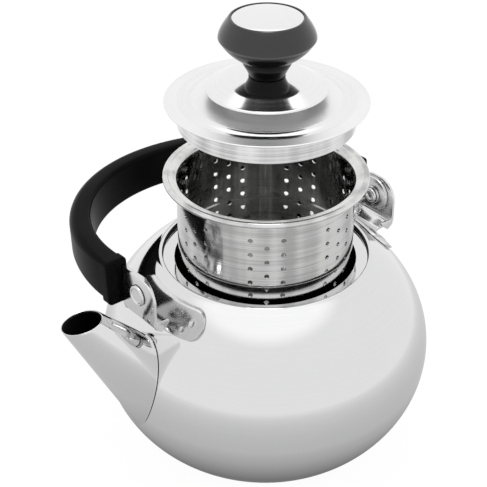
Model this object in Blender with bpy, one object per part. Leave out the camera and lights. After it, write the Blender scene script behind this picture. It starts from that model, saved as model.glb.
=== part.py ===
"""Stovetop teapot: a round steel pot with a straight spout, a perforated infuser basket
that lifts out of the mouth, a lid with a turned knob that closes the basket, and an arched
handle that folds back on two riveted ears.

Frame: the origin is the middle of the base, +Z is up, the spout points along -X, the two
handle ears stand on the X axis, and the handle folds towards +Y. The pot is drawn open:
the basket is lifted half out, the lid is held above it and the handle is folded back.
"""

import math

import bmesh
import bpy
from mathutils import Matrix, Vector

mm = 0.001

# --- Fits ------------------------------------------------------------------------------
CLEARANCE = 0.3 * mm            # between two pieces that touch or are joined
CUTTER_REACH = 2.0 * mm         # how far a cutter stands out of what it cuts
AROUND = 44                     # facets around the pot
AROUND_SMALL = 16               # facets around pins and washers

# --- Pot -------------------------------------------------------------------------------
POT_RADIUS = 90.0 * mm
POT_BULGE = 73.9 * mm           # half height of the spheroid that the wall follows
POT_WIDEST_Z = 62.0 * mm        # height of the widest circle above the base
POT_WALL = 1.0 * mm
POT_FLOOR_Z = 4.0 * mm          # underside of the shell's flat floor
POT_HEEL = 6.5 * mm             # width of the rounded corner between floor and wall
POT_HEEL_RISE = 3.9 * mm
POT_STEPS = 10                  # steps up the curved wall
SHOULDER_WIDTH = 2.4 * mm       # of the mouth's edge, from its recess to the curved wall
SHOULDER_LIP = 0.6 * mm         # how far the mouth's edge stands up from the wall
MOUTH_EDGE = 1.2 * mm           # rounding of the mouth's edge
MOUTH_RECESS_PLAY = 1.3 * mm    # around the basket's rolled rim
MOUTH_RECESS_CORNER = 0.5 * mm
MOUTH_PLAY = 2.1 * mm           # around the basket's wall
MOUTH_DEPTH = 2.65 * mm         # of the ledge that carries the basket, below the wall's top
BASE_DISC_RADIUS = 48.0 * mm
BASE_DISC_EDGE = 1.5 * mm
BASE_DISC_BEVEL = 0.8 * mm

# --- Spout -----------------------------------------------------------------------------
SPOUT_REACH = 28.0 * mm         # of the tip's middle beyond the pot's widest circle
SPOUT_TIP_RISE = 3.65 * mm      # above the top of the pot's wall
SPOUT_RISE_DEG = 52.9           # angle of the axis above the horizontal
SPOUT_TIP_RADIUS = 8.4 * mm
SPOUT_TAPER = 0.169             # growth of the radius for each unit back from the tip
SPOUT_WALL = 1.0 * mm
SPOUT_CUT_DEG = 6.0             # the mouth leans outwards from the horizontal
SPOUT_OVAL = 1.12               # the tip is a little longer than it is wide
SPOUT_HOLE_REACH = 12.0 * mm    # the hole's cutter, on each side of the pot's wall
SPOUT_HOLE_SIDES = 24
SPOUT_SIDES = 28
SPOUT_RINGS = 3

# --- Ears that carry the handle --------------------------------------------------------
PIVOT_RISE = 5.55 * mm          # above the top of the pot's wall
EAR_SETBACK = 7.0 * mm          # of the ear's outer face from the pot's widest circle
EAR_SHEET = 1.4 * mm
EAR_HALF_WIDTH = 13.8 * mm
EAR_RISE = 10.9 * mm            # above the pivot
EAR_CORNER = 11.0 * mm
EAR_KNEE_DROP = 12.4 * mm       # below the pivot; from there the ear leans in to the pot
EAR_ROOT_HALF_WIDTH = 10.0 * mm
EAR_ROOT_RISE = 1.2 * mm        # of the ear's root above the saddle's lower edge
EAR_LEAN_START = 2.0 * mm       # how far the root runs out before it turns up
EAR_LEAN_RISE = 3.4 * mm
EAR_SINK_SHARE = 0.2            # share of the saddle's sheet that the root sinks into
EAR_KNEE_STEPS = 4
EAR_CORNER_STEPS = 5
SADDLE_SHEET = 1.2 * mm
SADDLE_DROP = 2.65 * mm         # of its upper edge below the top of the pot's wall
SADDLE_HEIGHT = 11.7 * mm
SADDLE_HALF_ANGLE_DEG = 23.8
SADDLE_END_RATIO = 1.25         # length of a round end, for each unit of its half height
SADDLE_STATIONS = 16
SADDLE_ROWS = 2
TAB_LENGTH = 7.6 * mm
TAB_DROP = 17.0 * mm            # of its foot below the pivot
TAB_CHAMFER = 5.0 * mm
TAB_EDGE_DROP = 4.0 * mm        # height of the chamfer
TAB_LAP = 0.4 * mm              # how deep the tab and the ear's edge share metal
TAB_UNDER_KNEE = 2.0 * mm
PIN_RADIUS = 2.5 * mm
PIN_HEAD_RADIUS = 5.7 * mm
PIN_HEAD_HEIGHT = 1.4 * mm
PIN_FLARE_RADIUS = 4.2 * mm
PIN_FLARE_HEIGHT = 1.3 * mm
PIN_EYELET_RADIUS = 1.5 * mm
PIN_EYELET_DEPTH = 3.0 * mm
PIN_CHAMFER = 0.7 * mm
PIN_CROWN = 2.0 * mm            # width of the domed edge of the head
PIN_FLARE_EDGE = 0.9 * mm
WASHER_RADIUS = 5.2 * mm
WASHER_HEIGHT = 1.2 * mm

# --- Handle ----------------------------------------------------------------------------
FOLD_DEG = 94.0                 # from upright to folded back
TANG_SHEET = 1.8 * mm
TANG_HALF_WIDTH = 10.0 * mm
TANG_NECK_HALF_WIDTH = 7.0 * mm # inside the grip
TANG_SHOULDER = 20.0 * mm       # above the pivot; the tang is drawn in there
TANG_IN_GRIP = 20.0 * mm
TANG_FOOT_STEPS = 12
GRIP_START = 16.0 * mm          # the grip's ends above the pivot
GRIP_STRAIGHT = 10.0 * mm       # length of the straight ends below the arch
GRIP_END_SHARE = 0.1            # share of the grip's stations in each straight end
GRIP_INNER_SKIN = 1.4 * mm      # between the tang's slot and the grip's inner face
GRIP_END_DEPTH = 11.7 * mm      # from the inner face to the outer one, at the ends
GRIP_CROWN_DEPTH = 12.2 * mm
GRIP_INNER_RISE = 103.8 * mm    # of the inner face's crown above the pivot
GRIP_BREADTH_END = 23.0 * mm
GRIP_BREADTH_CROWN = 22.0 * mm
GRIP_SHIFT_END = 1.2 * mm       # how far the grip's middle stands before the pivot plane
GRIP_SHIFT_CROWN = 5.5 * mm
GRIP_OUTER_ROUND = 4.5 * mm
GRIP_INNER_ROUND = 2.0 * mm
GRIP_BLOCK_LENGTH = 6.3 * mm    # of the thicker block at each end
GRIP_BLOCK_PROUD = 1.0 * mm
GRIP_STATIONS = 40

# --- Infuser basket --------------------------------------------------------------------
LIFT = 46.9 * mm                # how far the basket is drawn out of the mouth
BASKET_RADIUS = 46.7 * mm       # outside of the wall
BASKET_SHEET = 0.8 * mm
BASKET_DEPTH = 60.0 * mm        # below the middle of the rolled rim
BEAD_RADIUS = 1.6 * mm
BEAD_REACH = 5.5 * mm           # of the rolled rim's middle beyond the wall
STEP_DEPTH = 39.7 * mm
STEP_IN = 0.8 * mm
STEP_HEIGHT = 0.6 * mm
NECK_TURN = 2.9 * mm            # bend from the wall out to the rolled rim
FLANGE_RISE = 0.6 * mm          # top of the flange above the rim's middle
FOOT_ROUND = 1.6 * mm
LIP_WIDTH = 4.0 * mm
HOLE_RADIUS = 1.3 * mm
HOLE_SIDES = 6
HOLE_GROUPS = 7
HOLE_COLUMNS = 3
HOLE_PLAIN_COLUMNS = 2          # columns left bare between two groups
HOLE_FIRST_DEPTH = 12.6 * mm
HOLE_ROW_STEP = 8.2 * mm
HOLE_ROWS = 5
HOLE_FACING_DEG = 231.0         # where the middle of one group faces
FLOOR_RING_STEP = 12.0 * mm
FLOOR_RINGS = 3

# --- Lid -------------------------------------------------------------------------------
LID_GAP = 40.5 * mm             # how far the lid is held above its seat on the rim
LID_EDGE_IN = 1.8 * mm          # of the lid's edge inside the rolled rim's outer edge
LID_SHEET = 0.8 * mm
LID_BEAD_RADIUS = 41.5 * mm
LID_BEAD_RISE = 1.0 * mm
LID_BEAD_SLOPE = 1.5 * mm       # half width of the step's slope
LID_EDGE_BEVEL = 0.4 * mm
LID_EDGE_RISE = 0.5 * mm
SKIRT_PLAY = 0.5 * mm           # between the skirt and the basket's wall
SKIRT_SHEET = 0.8 * mm
SKIRT_HEIGHT = 11.6 * mm
SKIRT_CORNER = 1.4 * mm
SKIRT_FILLET = 0.8 * mm
SKIRT_FLANGE = 4.0 * mm
ROSETTE_RADIUS = 31.0 * mm
ROSETTE_SHEET = 0.9 * mm
ROSETTE_RISE = 8.6 * mm
ROSETTE_SEAT_RADIUS = 18.0 * mm
ROSETTE_WALL = 3.6 * mm         # height of the steep wall beside the knob's foot
ROSETTE_WALL_LEAN = 0.3 * mm
ROSETTE_SLOPE_END = 5.0 * mm    # of the gentle slope, inside the brow
ROSETTE_BROW = 2.6 * mm         # rounding from the crest down to the edge
ROSETTE_BROW_DROP = 3.0 * mm
ROSETTE_EDGE = 4.0 * mm
ROSETTE_SIDES = 36

# --- Knob ------------------------------------------------------------------------------
KNOB_FOOT_RADIUS = 16.7 * mm
KNOB_FOOT_HEIGHT = 6.0 * mm
KNOB_FOOT_HEEL = 2.6 * mm       # rounding under the foot
KNOB_FOOT_BROW = 4.0 * mm       # rounding over the foot
KNOB_NECK_RADIUS = 7.4 * mm
KNOB_NECK_Z = 8.2 * mm
KNOB_NECK_FILLET = 1.5 * mm
KNOB_NECK_START = 0.3 * mm      # of the neck's curve above the foot
KNOB_COLLAR_RADIUS = 12.2 * mm
KNOB_COLLAR_Z = 17.0 * mm
KNOB_COLLAR_STEP = 0.5 * mm
KNOB_COLLAR_GROOVE = 2.3 * mm
KNOB_CHEEK_IN = 4.1 * mm        # the corner that the lower cheek is drawn towards
KNOB_CHEEK_RISE = 6.6 * mm
KNOB_RADIUS = 24.5 * mm
KNOB_WIDEST_Z = 30.6 * mm
KNOB_TOP_RADIUS = 18.9 * mm
KNOB_TOP_ROUND = 7.2 * mm
KNOB_HEIGHT = 41.2 * mm
KNOB_SIDES = 30
CAP_RADIUS = 17.6 * mm
CAP_SHEET = 1.2 * mm
CAP_EDGE_BEVEL = 0.3 * mm
CAP_DOME = 1.2 * mm
CAP_FLAT_SHARE = 0.96           # share of the cap's radius inside its bevelled edge
CAP_RINGS = 4
INSERT_RADIUS = 4.2 * mm
INSERT_LENGTH = 13.0 * mm
SCREW_RADIUS = 2.0 * mm
SCREW_TIP_GAP = 0.7 * mm        # between the screw's tip and the insert's end
SCREW_TIP_HEIGHT = 0.8 * mm
SCREW_HEAD_RADIUS = 4.2 * mm
SCREW_HEAD_HEIGHT = 2.4 * mm
SCREW_HEAD_BEVEL = 0.9 * mm
SCREW_SOCKET_RADIUS = 1.1 * mm
SCREW_SOCKET_DEPTH = 1.2 * mm
LID_WASHER_RADIUS = 7.0 * mm
LID_WASHER_SHEET = 1.0 * mm

# --- Sizes and places that follow from the ones above ----------------------------------
BEAD_CENTRE_RADIUS = BASKET_RADIUS + BEAD_REACH
MOUTH_RADIUS = BASKET_RADIUS + MOUTH_PLAY
MOUTH_RECESS_RADIUS = BEAD_CENTRE_RADIUS + BEAD_RADIUS + MOUTH_RECESS_PLAY
SHOULDER_RADIUS = MOUTH_RECESS_RADIUS + SHOULDER_WIDTH           # where the wall turns in
SHOULDER_Z = POT_WIDEST_Z + POT_BULGE * math.sqrt(1 - (SHOULDER_RADIUS / POT_RADIUS) ** 2)
MOUTH_LEDGE_Z = SHOULDER_Z - MOUTH_DEPTH
LID_RADIUS = BEAD_CENTRE_RADIUS + BEAD_RADIUS - LID_EDGE_IN
SKIRT_RADIUS = BASKET_RADIUS - BASKET_SHEET - SKIRT_PLAY
PIVOT_Z = SHOULDER_Z + PIVOT_RISE
EAR_KNEE_Z = PIVOT_Z - EAR_KNEE_DROP
TAB_LOW_Z = PIVOT_Z - TAB_DROP
SADDLE_TOP_Z = SHOULDER_Z - SADDLE_DROP
SADDLE_LOW_Z = SADDLE_TOP_Z - SADDLE_HEIGHT
SPOUT_TIP_Z = SHOULDER_Z + SPOUT_TIP_RISE
SPOUT_TIP_X = -(POT_RADIUS + SPOUT_REACH)
EAR_FACE_X = POT_RADIUS - EAR_SETBACK
TANG_OUTER_X = EAR_FACE_X - EAR_SHEET - CLEARANCE                # the tang lies inside the ear
TANG_INNER_X = TANG_OUTER_X - TANG_SHEET
WASHER_OUTER_X = TANG_INNER_X - CLEARANCE
WASHER_INNER_X = WASHER_OUTER_X - WASHER_HEIGHT
GRIP_INNER_HALF_WIDTH = TANG_INNER_X - CLEARANCE - GRIP_INNER_SKIN
GRIP_OUTER_HALF_WIDTH = GRIP_INNER_HALF_WIDTH + GRIP_END_DEPTH
GRIP_OUTER_RISE = GRIP_INNER_RISE + GRIP_CROWN_DEPTH
GRIP_SPRING = GRIP_START + GRIP_STRAIGHT                         # where the arch starts
RIM_Z = MOUTH_LEDGE_Z + CLEARANCE + BEAD_RADIUS + LIFT           # middle of the basket's rim
LID_Z = RIM_Z + BEAD_RADIUS + CLEARANCE + LID_GAP                # underside of the lid's edge
LID_CENTRE_Z = LID_Z + LID_SHEET + LID_BEAD_RISE                 # top of the lid's middle
ROSETTE_Z = LID_CENTRE_Z + CLEARANCE
KNOB_Z = ROSETTE_Z + ROSETTE_SHEET + CLEARANCE


# --- Small tools -----------------------------------------------------------------------
def steel(name, value, roughness):
    return finish(name, (value, value, value * 1.01), roughness, 1.0)


def finish(name, colour, roughness, metallic):
    """A named Principled material."""
    material = bpy.data.materials.new(name)
    material.use_nodes = True
    shader = material.node_tree.nodes["Principled BSDF"]
    shader.inputs["Base Color"].default_value = (*colour, 1.0)
    shader.inputs["Roughness"].default_value = roughness
    shader.inputs["Metallic"].default_value = metallic
    material.diffuse_color = (*colour, 1.0)
    return material


def add_piece(name, bm, material=None, joint=None):
    """Turns a bmesh in the pot's frame into an object whose origin is on its joint."""
    bmesh.ops.recalc_face_normals(bm, faces=bm.faces)
    mesh = bpy.data.meshes.new(name)
    bm.to_mesh(mesh)
    bm.free()
    piece = bpy.data.objects.new(name, mesh)
    bpy.context.collection.objects.link(piece)
    if material:
        mesh.materials.append(material)
    mesh.shade_smooth()
    mesh.set_sharp_from_angle(angle=math.radians(35))
    if joint:
        mesh.transform(Matrix.Translation(-joint.location))
        piece.parent = joint
    return piece


def add_joint(name, place):
    joint = bpy.data.objects.new(name, None)
    joint.empty_display_size = 20 * mm
    joint.location = place
    bpy.context.collection.objects.link(joint)
    return joint


def cut(piece, cutter):
    """Takes the cutter's shape out of the piece."""
    cutter.hide_render = True
    cutter.display_type = "WIRE"
    modifier = piece.modifiers.new("cut_" + cutter.name, "BOOLEAN")
    modifier.operation = "DIFFERENCE"
    modifier.object = cutter


def arc(centre_r, centre_z, radius, start_deg, end_deg, steps):
    """Points along an arc in a turned profile."""
    points = []
    for i in range(steps + 1):
        angle = math.radians(start_deg + (end_deg - start_deg) * i / steps)
        points.append((centre_r + radius * math.cos(angle), centre_z + radius * math.sin(angle)))
    return points


def bend(start, corner, end, steps):
    """A smooth corner: points from start to end, drawn towards the corner point."""
    points = []
    for i in range(steps + 1):
        t = i / steps
        a, b, c = (1 - t) ** 2, 2 * t * (1 - t), t ** 2
        points.append(tuple(a * p + b * q + c * r for p, q, r in zip(start, corner, end)))
    return points


def thicken(path, sheet):
    """Closes an open path into the outline of a sheet, laid on the path's left side."""
    inner = []
    for i, (r, z) in enumerate(path):
        before = Vector(path[max(i - 1, 0)])
        after = Vector(path[min(i + 1, len(path) - 1)])
        here = Vector((r, z))
        first = (here - before).normalized() if i else (after - here).normalized()
        second = (after - here).normalized() if i < len(path) - 1 else first
        normal = Vector((-first.y - second.y, first.x + second.x)).normalized()
        reach = sheet / max(normal.dot(Vector((-first.y, first.x))), 0.5)
        offset = here + normal * reach
        inner.append((0.0 if r == 0 else offset.x, offset.y))
    return list(path) + inner[::-1]


def equal_angles(sides):
    return [2 * math.pi * i / sides for i in range(sides)]


def turned(profile, angles):
    """A bmesh turned about Z from a closed profile of (radius, height) points."""
    bm = bmesh.new()
    rings = []
    for r, z in profile:
        if r == 0:
            rings.append([bm.verts.new((0, 0, z))] * len(angles))
        else:
            rings.append([bm.verts.new((r * math.cos(a), r * math.sin(a), z)) for a in angles])
    for ring, following in zip(rings, rings[1:] + rings[:1]):
        for i in range(len(angles)):
            j = (i + 1) % len(angles)
            corners = dict.fromkeys((ring[i], ring[j], following[j], following[i]))
            if len(corners) > 2:
                bm.faces.new(corners)
    return bm


def lofted(sections):
    """A bmesh through equal closed sections, with flat ends."""
    bm = bmesh.new()
    rings = [[bm.verts.new(point) for point in section] for section in sections]
    for ring, following in zip(rings, rings[1:]):
        for i in range(len(ring)):
            j = (i + 1) % len(ring)
            bm.faces.new((ring[i], ring[j], following[j], following[i]))
    bm.faces.new(rings[0])
    bm.faces.new(rings[-1])
    return bm


def lay_along_x(bm, x, z, outward):
    """Lays a piece turned about Z on an axis along X; its +Z end points outward."""
    turn = Matrix.Rotation(math.radians(90 * outward), 4, "Y")
    bmesh.ops.transform(bm, matrix=Matrix.Translation((x, 0, z)) @ turn, verts=bm.verts)
    return bm


def prism(sides, radius, low, high, matrix=None, bm=None):
    """A straight prism about Z, added to bm if one is given."""
    bm = bm or bmesh.new()
    angles = [angle + math.pi / sides for angle in equal_angles(sides)]
    ends = []
    for z in (low, high):
        ends.append([bm.verts.new((radius * math.cos(a), radius * math.sin(a), z)) for a in angles])
    for i in range(sides):
        j = (i + 1) % sides
        bm.faces.new((ends[0][i], ends[0][j], ends[1][j], ends[1][i]))
    bm.faces.new(ends[0][::-1])
    bm.faces.new(ends[1])
    if matrix:
        bmesh.ops.transform(bm, matrix=matrix, verts=ends[0] + ends[1])
    return bm


# --- Pot -------------------------------------------------------------------------------
def pot_radius_at(z, proud=0.0):
    """Radius of the spheroid at a height, or of one that stands proud of it."""
    rise = (z - POT_WIDEST_Z) / (POT_BULGE + proud)
    return (POT_RADIUS + proud) * math.sqrt(max(1 - rise * rise, 0.0))


def make_pot(material, cutter_material):
    heel_radius = pot_radius_at(POT_FLOOR_Z)
    heel_top = POT_FLOOR_Z + POT_HEEL_RISE
    path = [(0.0, POT_FLOOR_Z)]
    path += bend((heel_radius - POT_HEEL, POT_FLOOR_Z), (heel_radius, POT_FLOOR_Z),
                 (pot_radius_at(heel_top), heel_top), 2)
    low = math.asin((heel_top - POT_WIDEST_Z) / POT_BULGE)
    high = math.asin((SHOULDER_Z - POT_WIDEST_Z) / POT_BULGE)
    for i in range(1, POT_STEPS + 1):
        angle = low + (high - low) * i / POT_STEPS
        path.append((POT_RADIUS * math.cos(angle), POT_WIDEST_Z + POT_BULGE * math.sin(angle)))
    lip_z = SHOULDER_Z + SHOULDER_LIP
    path += bend((MOUTH_RECESS_RADIUS + MOUTH_EDGE, lip_z), (MOUTH_RECESS_RADIUS, lip_z),
                 (MOUTH_RECESS_RADIUS, lip_z - MOUTH_EDGE), 2)
    path += [(MOUTH_RECESS_RADIUS, MOUTH_LEDGE_Z + MOUTH_RECESS_CORNER),
             (MOUTH_RECESS_RADIUS - MOUTH_RECESS_CORNER, MOUTH_LEDGE_Z)]
    path.append((MOUTH_RADIUS, MOUTH_LEDGE_Z))
    shell = add_piece("body_shell", turned(thicken(path, POT_WALL), equal_angles(AROUND)), material)

    cut(shell, add_piece("spout_hole_cutter", spout_hole(), cutter_material))

    disc_top = POT_FLOOR_Z - CLEARANCE
    disc = [(0.0, 0.0)]
    disc += bend((BASE_DISC_RADIUS - BASE_DISC_EDGE, 0.0), (BASE_DISC_RADIUS, 0.0),
                 (BASE_DISC_RADIUS, BASE_DISC_EDGE), 2)
    disc += [(BASE_DISC_RADIUS, disc_top - BASE_DISC_BEVEL),
             (BASE_DISC_RADIUS - BASE_DISC_BEVEL, disc_top), (0.0, disc_top)]
    add_piece("base_disc", turned(disc, equal_angles(AROUND)), material)


# --- Spout -----------------------------------------------------------------------------
def spout_frame():
    """The tip's middle, the direction towards the tip, and the two cross directions."""
    rise = math.radians(SPOUT_RISE_DEG)
    tip = Vector((SPOUT_TIP_X, 0, SPOUT_TIP_Z))
    along = Vector((-math.cos(rise), 0, math.sin(rise)))
    side = Vector((0, 1, 0))
    return tip, along, side, side.cross(along)


def spout_ray(angle, inset):
    """A straight line down the cone: its start level with the tip, and its step back."""
    tip, along, side, over = spout_frame()
    spread = side * math.cos(angle) + over * (SPOUT_OVAL * math.sin(angle))
    spread_back = side * math.cos(angle) + over * math.sin(angle)
    start = tip + spread * (SPOUT_TIP_RADIUS - inset)
    return start, spread_back * SPOUT_TAPER - along


def meet_pot(start, step, proud):
    """How many steps down a line meets the spheroid that stands proud of the pot."""
    scale = Vector((1 / (POT_RADIUS + proud), 1 / (POT_RADIUS + proud), 1 / (POT_BULGE + proud)))
    p = (start - Vector((0, 0, POT_WIDEST_Z))) * scale
    d = step * scale
    a, b, c = d.dot(d), 2 * p.dot(d), p.dot(p) - 1
    return (-b - math.sqrt(max(b * b - 4 * a * c, 0.0))) / (2 * a)


def meet_cut(start, step):
    """How many steps down a line meets the plane that the tip is cut to."""
    tip = spout_frame()[0]
    lean = math.radians(SPOUT_CUT_DEG)
    normal = Vector((-math.sin(lean), 0, math.cos(lean)))
    return (tip - start).dot(normal) / step.dot(normal)


def spout_hole():
    """A closed length of the spout's bore, where it passes through the pot's wall."""
    sections = []
    for past_wall in (-SPOUT_HOLE_REACH, SPOUT_HOLE_REACH):
        ring = []
        for angle in equal_angles(SPOUT_HOLE_SIDES):
            start, step = spout_ray(angle, SPOUT_WALL)
            ring.append(start + step * (meet_pot(start, step, 0.0) + past_wall))
        sections.append(ring)
    return lofted(sections)


def make_spout(material):
    bm = bmesh.new()
    walls = []
    for inset in (0.0, SPOUT_WALL):
        rays = []
        for angle in equal_angles(SPOUT_SIDES):
            start, step = spout_ray(angle, inset)
            top = meet_cut(start, step)
            root = meet_pot(start, step, CLEARANCE)
            rays.append([bm.verts.new(start + step * (top + (root - top) * i / SPOUT_RINGS))
                         for i in range(SPOUT_RINGS + 1)])
        walls.append(rays)
    outer, inner = walls
    for i in range(SPOUT_SIDES):
        j = (i + 1) % SPOUT_SIDES
        for k in range(SPOUT_RINGS):
            bm.faces.new((outer[i][k], outer[j][k], outer[j][k + 1], outer[i][k + 1]))
            bm.faces.new((inner[i][k + 1], inner[j][k + 1], inner[j][k], inner[i][k]))
        for k in (0, SPOUT_RINGS):
            bm.faces.new((outer[i][k], outer[j][k], inner[j][k], inner[i][k]))
    add_piece("spout", bm, material)


# --- Ears and pins ---------------------------------------------------------------------
def on_pot(angle, z, proud):
    radius = pot_radius_at(z, proud)
    return Vector((radius * math.cos(angle), radius * math.sin(angle), z))


def saddle(side):
    """The curved strip with round ends that lies welded on the pot's shoulder."""
    middle_z = (SADDLE_TOP_Z + SADDLE_LOW_Z) / 2
    half_height = (SADDLE_TOP_Z - SADDLE_LOW_Z) / 2
    half_angle = math.radians(SADDLE_HALF_ANGLE_DEG)
    end_angle = half_height * SADDLE_END_RATIO / pot_radius_at(middle_z)
    stations, rows = SADDLE_STATIONS, SADDLE_ROWS
    bm = bmesh.new()
    layers = []
    for proud in (CLEARANCE, CLEARANCE + SADDLE_SHEET):
        grid = []
        for i in range(stations + 1):
            share = -math.cos(math.pi * i / stations)
            angle = share * half_angle
            past = max(abs(angle) - (half_angle - end_angle), 0.0) / end_angle
            reach = half_height * max(math.sqrt(max(1 - past * past, 0.0)), 0.25)
            grid.append([bm.verts.new(on_pot(angle, middle_z + reach * (2 * k / rows - 1), proud))
                         for k in range(rows + 1)])
        layers.append(grid)
    low, high = layers
    for i in range(stations):
        for k in range(rows):
            bm.faces.new((high[i][k], high[i + 1][k], high[i + 1][k + 1], high[i][k + 1]))
            bm.faces.new((low[i][k], low[i][k + 1], low[i + 1][k + 1], low[i + 1][k]))
        for k in (0, rows):
            bm.faces.new((low[i][k], low[i + 1][k], high[i + 1][k], high[i][k]))
    for i in (0, stations):
        for k in range(rows):
            bm.faces.new((low[i][k], low[i][k + 1], high[i][k + 1], high[i][k]))
    if side < 0:
        bmesh.ops.rotate(bm, matrix=Matrix.Rotation(math.pi, 3, "Z"), verts=bm.verts)
    return bm


def ear(side):
    """The upright plate: its root leans out from the saddle and its top corners are round."""
    root_z = SADDLE_LOW_Z + EAR_ROOT_RISE
    root_x = pot_radius_at(root_z, CLEARANCE + EAR_SINK_SHARE * SADDLE_SHEET)
    top_z = PIVOT_Z + EAR_RISE
    rows = [(root_x, root_z, EAR_ROOT_HALF_WIDTH)]
    knee = bend((root_x + EAR_LEAN_START, root_z + EAR_ROOT_RISE), (EAR_FACE_X, root_z + EAR_LEAN_RISE),
                (EAR_FACE_X, EAR_KNEE_Z), EAR_KNEE_STEPS)
    for i, (x, z) in enumerate(knee):
        growth = (EAR_HALF_WIDTH - EAR_ROOT_HALF_WIDTH) * i / EAR_KNEE_STEPS
        rows.append((x, z, EAR_ROOT_HALF_WIDTH + growth))
    corner = arc(EAR_HALF_WIDTH - EAR_CORNER, top_z - EAR_CORNER, EAR_CORNER, 0, 90, EAR_CORNER_STEPS)
    rows += [(EAR_FACE_X, z, half_width) for half_width, z in corner]
    outline = thicken([(x, z) for x, z, _ in rows], EAR_SHEET)
    count = len(rows)
    sections = []
    for i, (x, z, width) in enumerate(rows):
        back_x, back_z = outline[2 * count - 1 - i]
        sections.append([Vector((side * x, -width, z)), Vector((side * x, width, z)),
                         Vector((side * back_x, width, back_z)), Vector((side * back_x, -width, back_z))])
    return lofted(sections)


def stop_tab(side, edge):
    """A tab bent in from the ear's edge, on which the folded tang comes to rest."""
    outer_y = edge * EAR_HALF_WIDTH
    inner_y = edge * (EAR_HALF_WIDTH - EAR_SHEET)
    near_x = EAR_FACE_X - TAB_LAP
    far_x = EAR_FACE_X - EAR_SHEET - TAB_LENGTH
    fold = math.radians(FOLD_DEG - 90)
    rest_z = (PIVOT_Z - TANG_HALF_WIDTH / math.cos(fold) - EAR_HALF_WIDTH * math.tan(fold)
              - CLEARANCE)
    sections = []
    for y in (inner_y, outer_y):
        sections.append([Vector((side * x, y, z)) for x, z in (
            (near_x, EAR_KNEE_Z - TAB_UNDER_KNEE), (near_x, rest_z), (far_x, rest_z),
            (far_x, TAB_LOW_Z + TAB_EDGE_DROP), (far_x + TAB_CHAMFER, TAB_LOW_Z))])
    return lofted(sections)


def unite(piece, other, cutter_material):
    """Joins another closed shape into the piece."""
    tool = add_piece(other[0], other[1], cutter_material)
    tool.hide_render = True
    tool.display_type = "WIRE"
    modifier = piece.modifiers.new("join_" + other[0], "BOOLEAN")
    modifier.operation = "UNION"
    modifier.object = tool


def pivot_hole(name, side, inner_x, outer_x, material, joint=None):
    """A cutter for the hole that the pin passes through."""
    bore = prism(AROUND_SMALL, PIN_RADIUS + CLEARANCE, inner_x - CUTTER_REACH, outer_x + CUTTER_REACH)
    return add_piece(name, lay_along_x(bore, 0, PIVOT_Z, side), material, joint)


def make_ear(name, side, material, cutter_material):
    bracket = add_piece(name, saddle(side), material)
    unite(bracket, (name + "_ear", ear(side)), cutter_material)
    for edge in (-1, 1):
        label = "_tab_front" if edge < 0 else "_tab_back"
        unite(bracket, (name + label, stop_tab(side, edge)), cutter_material)
    hole = pivot_hole(name + "_hole", side, EAR_FACE_X - EAR_SHEET, EAR_FACE_X, cutter_material)
    cut(bracket, hole)


def make_pin(name, side, steel_material, joint):
    """A tubular rivet with a round outer head and a flared inner end, and its washer."""
    head_low = EAR_FACE_X + CLEARANCE
    head_top = head_low + PIN_HEAD_HEIGHT
    flare_outer = WASHER_INNER_X - CLEARANCE
    tail = flare_outer - PIN_FLARE_HEIGHT
    profile = [(0.0, tail + PIN_EYELET_DEPTH), (PIN_EYELET_RADIUS, tail + PIN_EYELET_DEPTH),
               (PIN_EYELET_RADIUS, tail + PIN_FLARE_EDGE)]
    profile += bend((PIN_EYELET_RADIUS + CLEARANCE, tail), (PIN_FLARE_RADIUS, tail),
                    (PIN_FLARE_RADIUS, tail + PIN_FLARE_EDGE), 2)
    profile += [(PIN_FLARE_RADIUS, flare_outer), (PIN_RADIUS, flare_outer), (PIN_RADIUS, head_low),
                (PIN_HEAD_RADIUS, head_low)]
    profile += bend((PIN_HEAD_RADIUS, head_top - PIN_CHAMFER), (PIN_HEAD_RADIUS, head_top),
                    (PIN_HEAD_RADIUS - PIN_CROWN, head_top), 2)
    profile.append((0.0, head_top))
    pin = lay_along_x(turned(profile, equal_angles(AROUND_SMALL)), 0, PIVOT_Z, side)
    add_piece(name + "_pivot_rivet", pin, steel_material)
    ring = [(PIN_RADIUS + CLEARANCE, WASHER_INNER_X), (WASHER_RADIUS, WASHER_INNER_X),
            (WASHER_RADIUS, WASHER_OUTER_X), (PIN_RADIUS + CLEARANCE, WASHER_OUTER_X)]
    washer = lay_along_x(turned(ring, equal_angles(AROUND_SMALL)), 0, PIVOT_Z, side)
    add_piece(name + "_pivot_washer", washer, steel_material, joint)


# --- Handle, drawn upright about the pivot ---------------------------------------------
def tang_outline(extra=0.0):
    """Half-round foot about the pivot, drawn in to a narrower neck inside the grip."""
    width, neck = TANG_HALF_WIDTH + extra, TANG_NECK_HALF_WIDTH + extra
    shoulder = TANG_SHOULDER + extra
    top = GRIP_START + TANG_IN_GRIP + extra
    points = [(neck, top), (-neck, top), (-neck, shoulder), (-width, shoulder)]
    points += arc(0.0, 0.0, width, 180, 360, TANG_FOOT_STEPS)
    return points + [(width, shoulder), (neck, shoulder)]


def make_tang(name, side, material, cutter_material, joint):
    sections = [[Vector((side * x, y, PIVOT_Z + z)) for y, z in tang_outline()]
                for x in (TANG_OUTER_X, TANG_INNER_X)]
    plate = add_piece(name, lofted(sections), material, joint)
    cut(plate, pivot_hole(name + "_hole", side, TANG_INNER_X, TANG_OUTER_X, cutter_material, joint))


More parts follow.
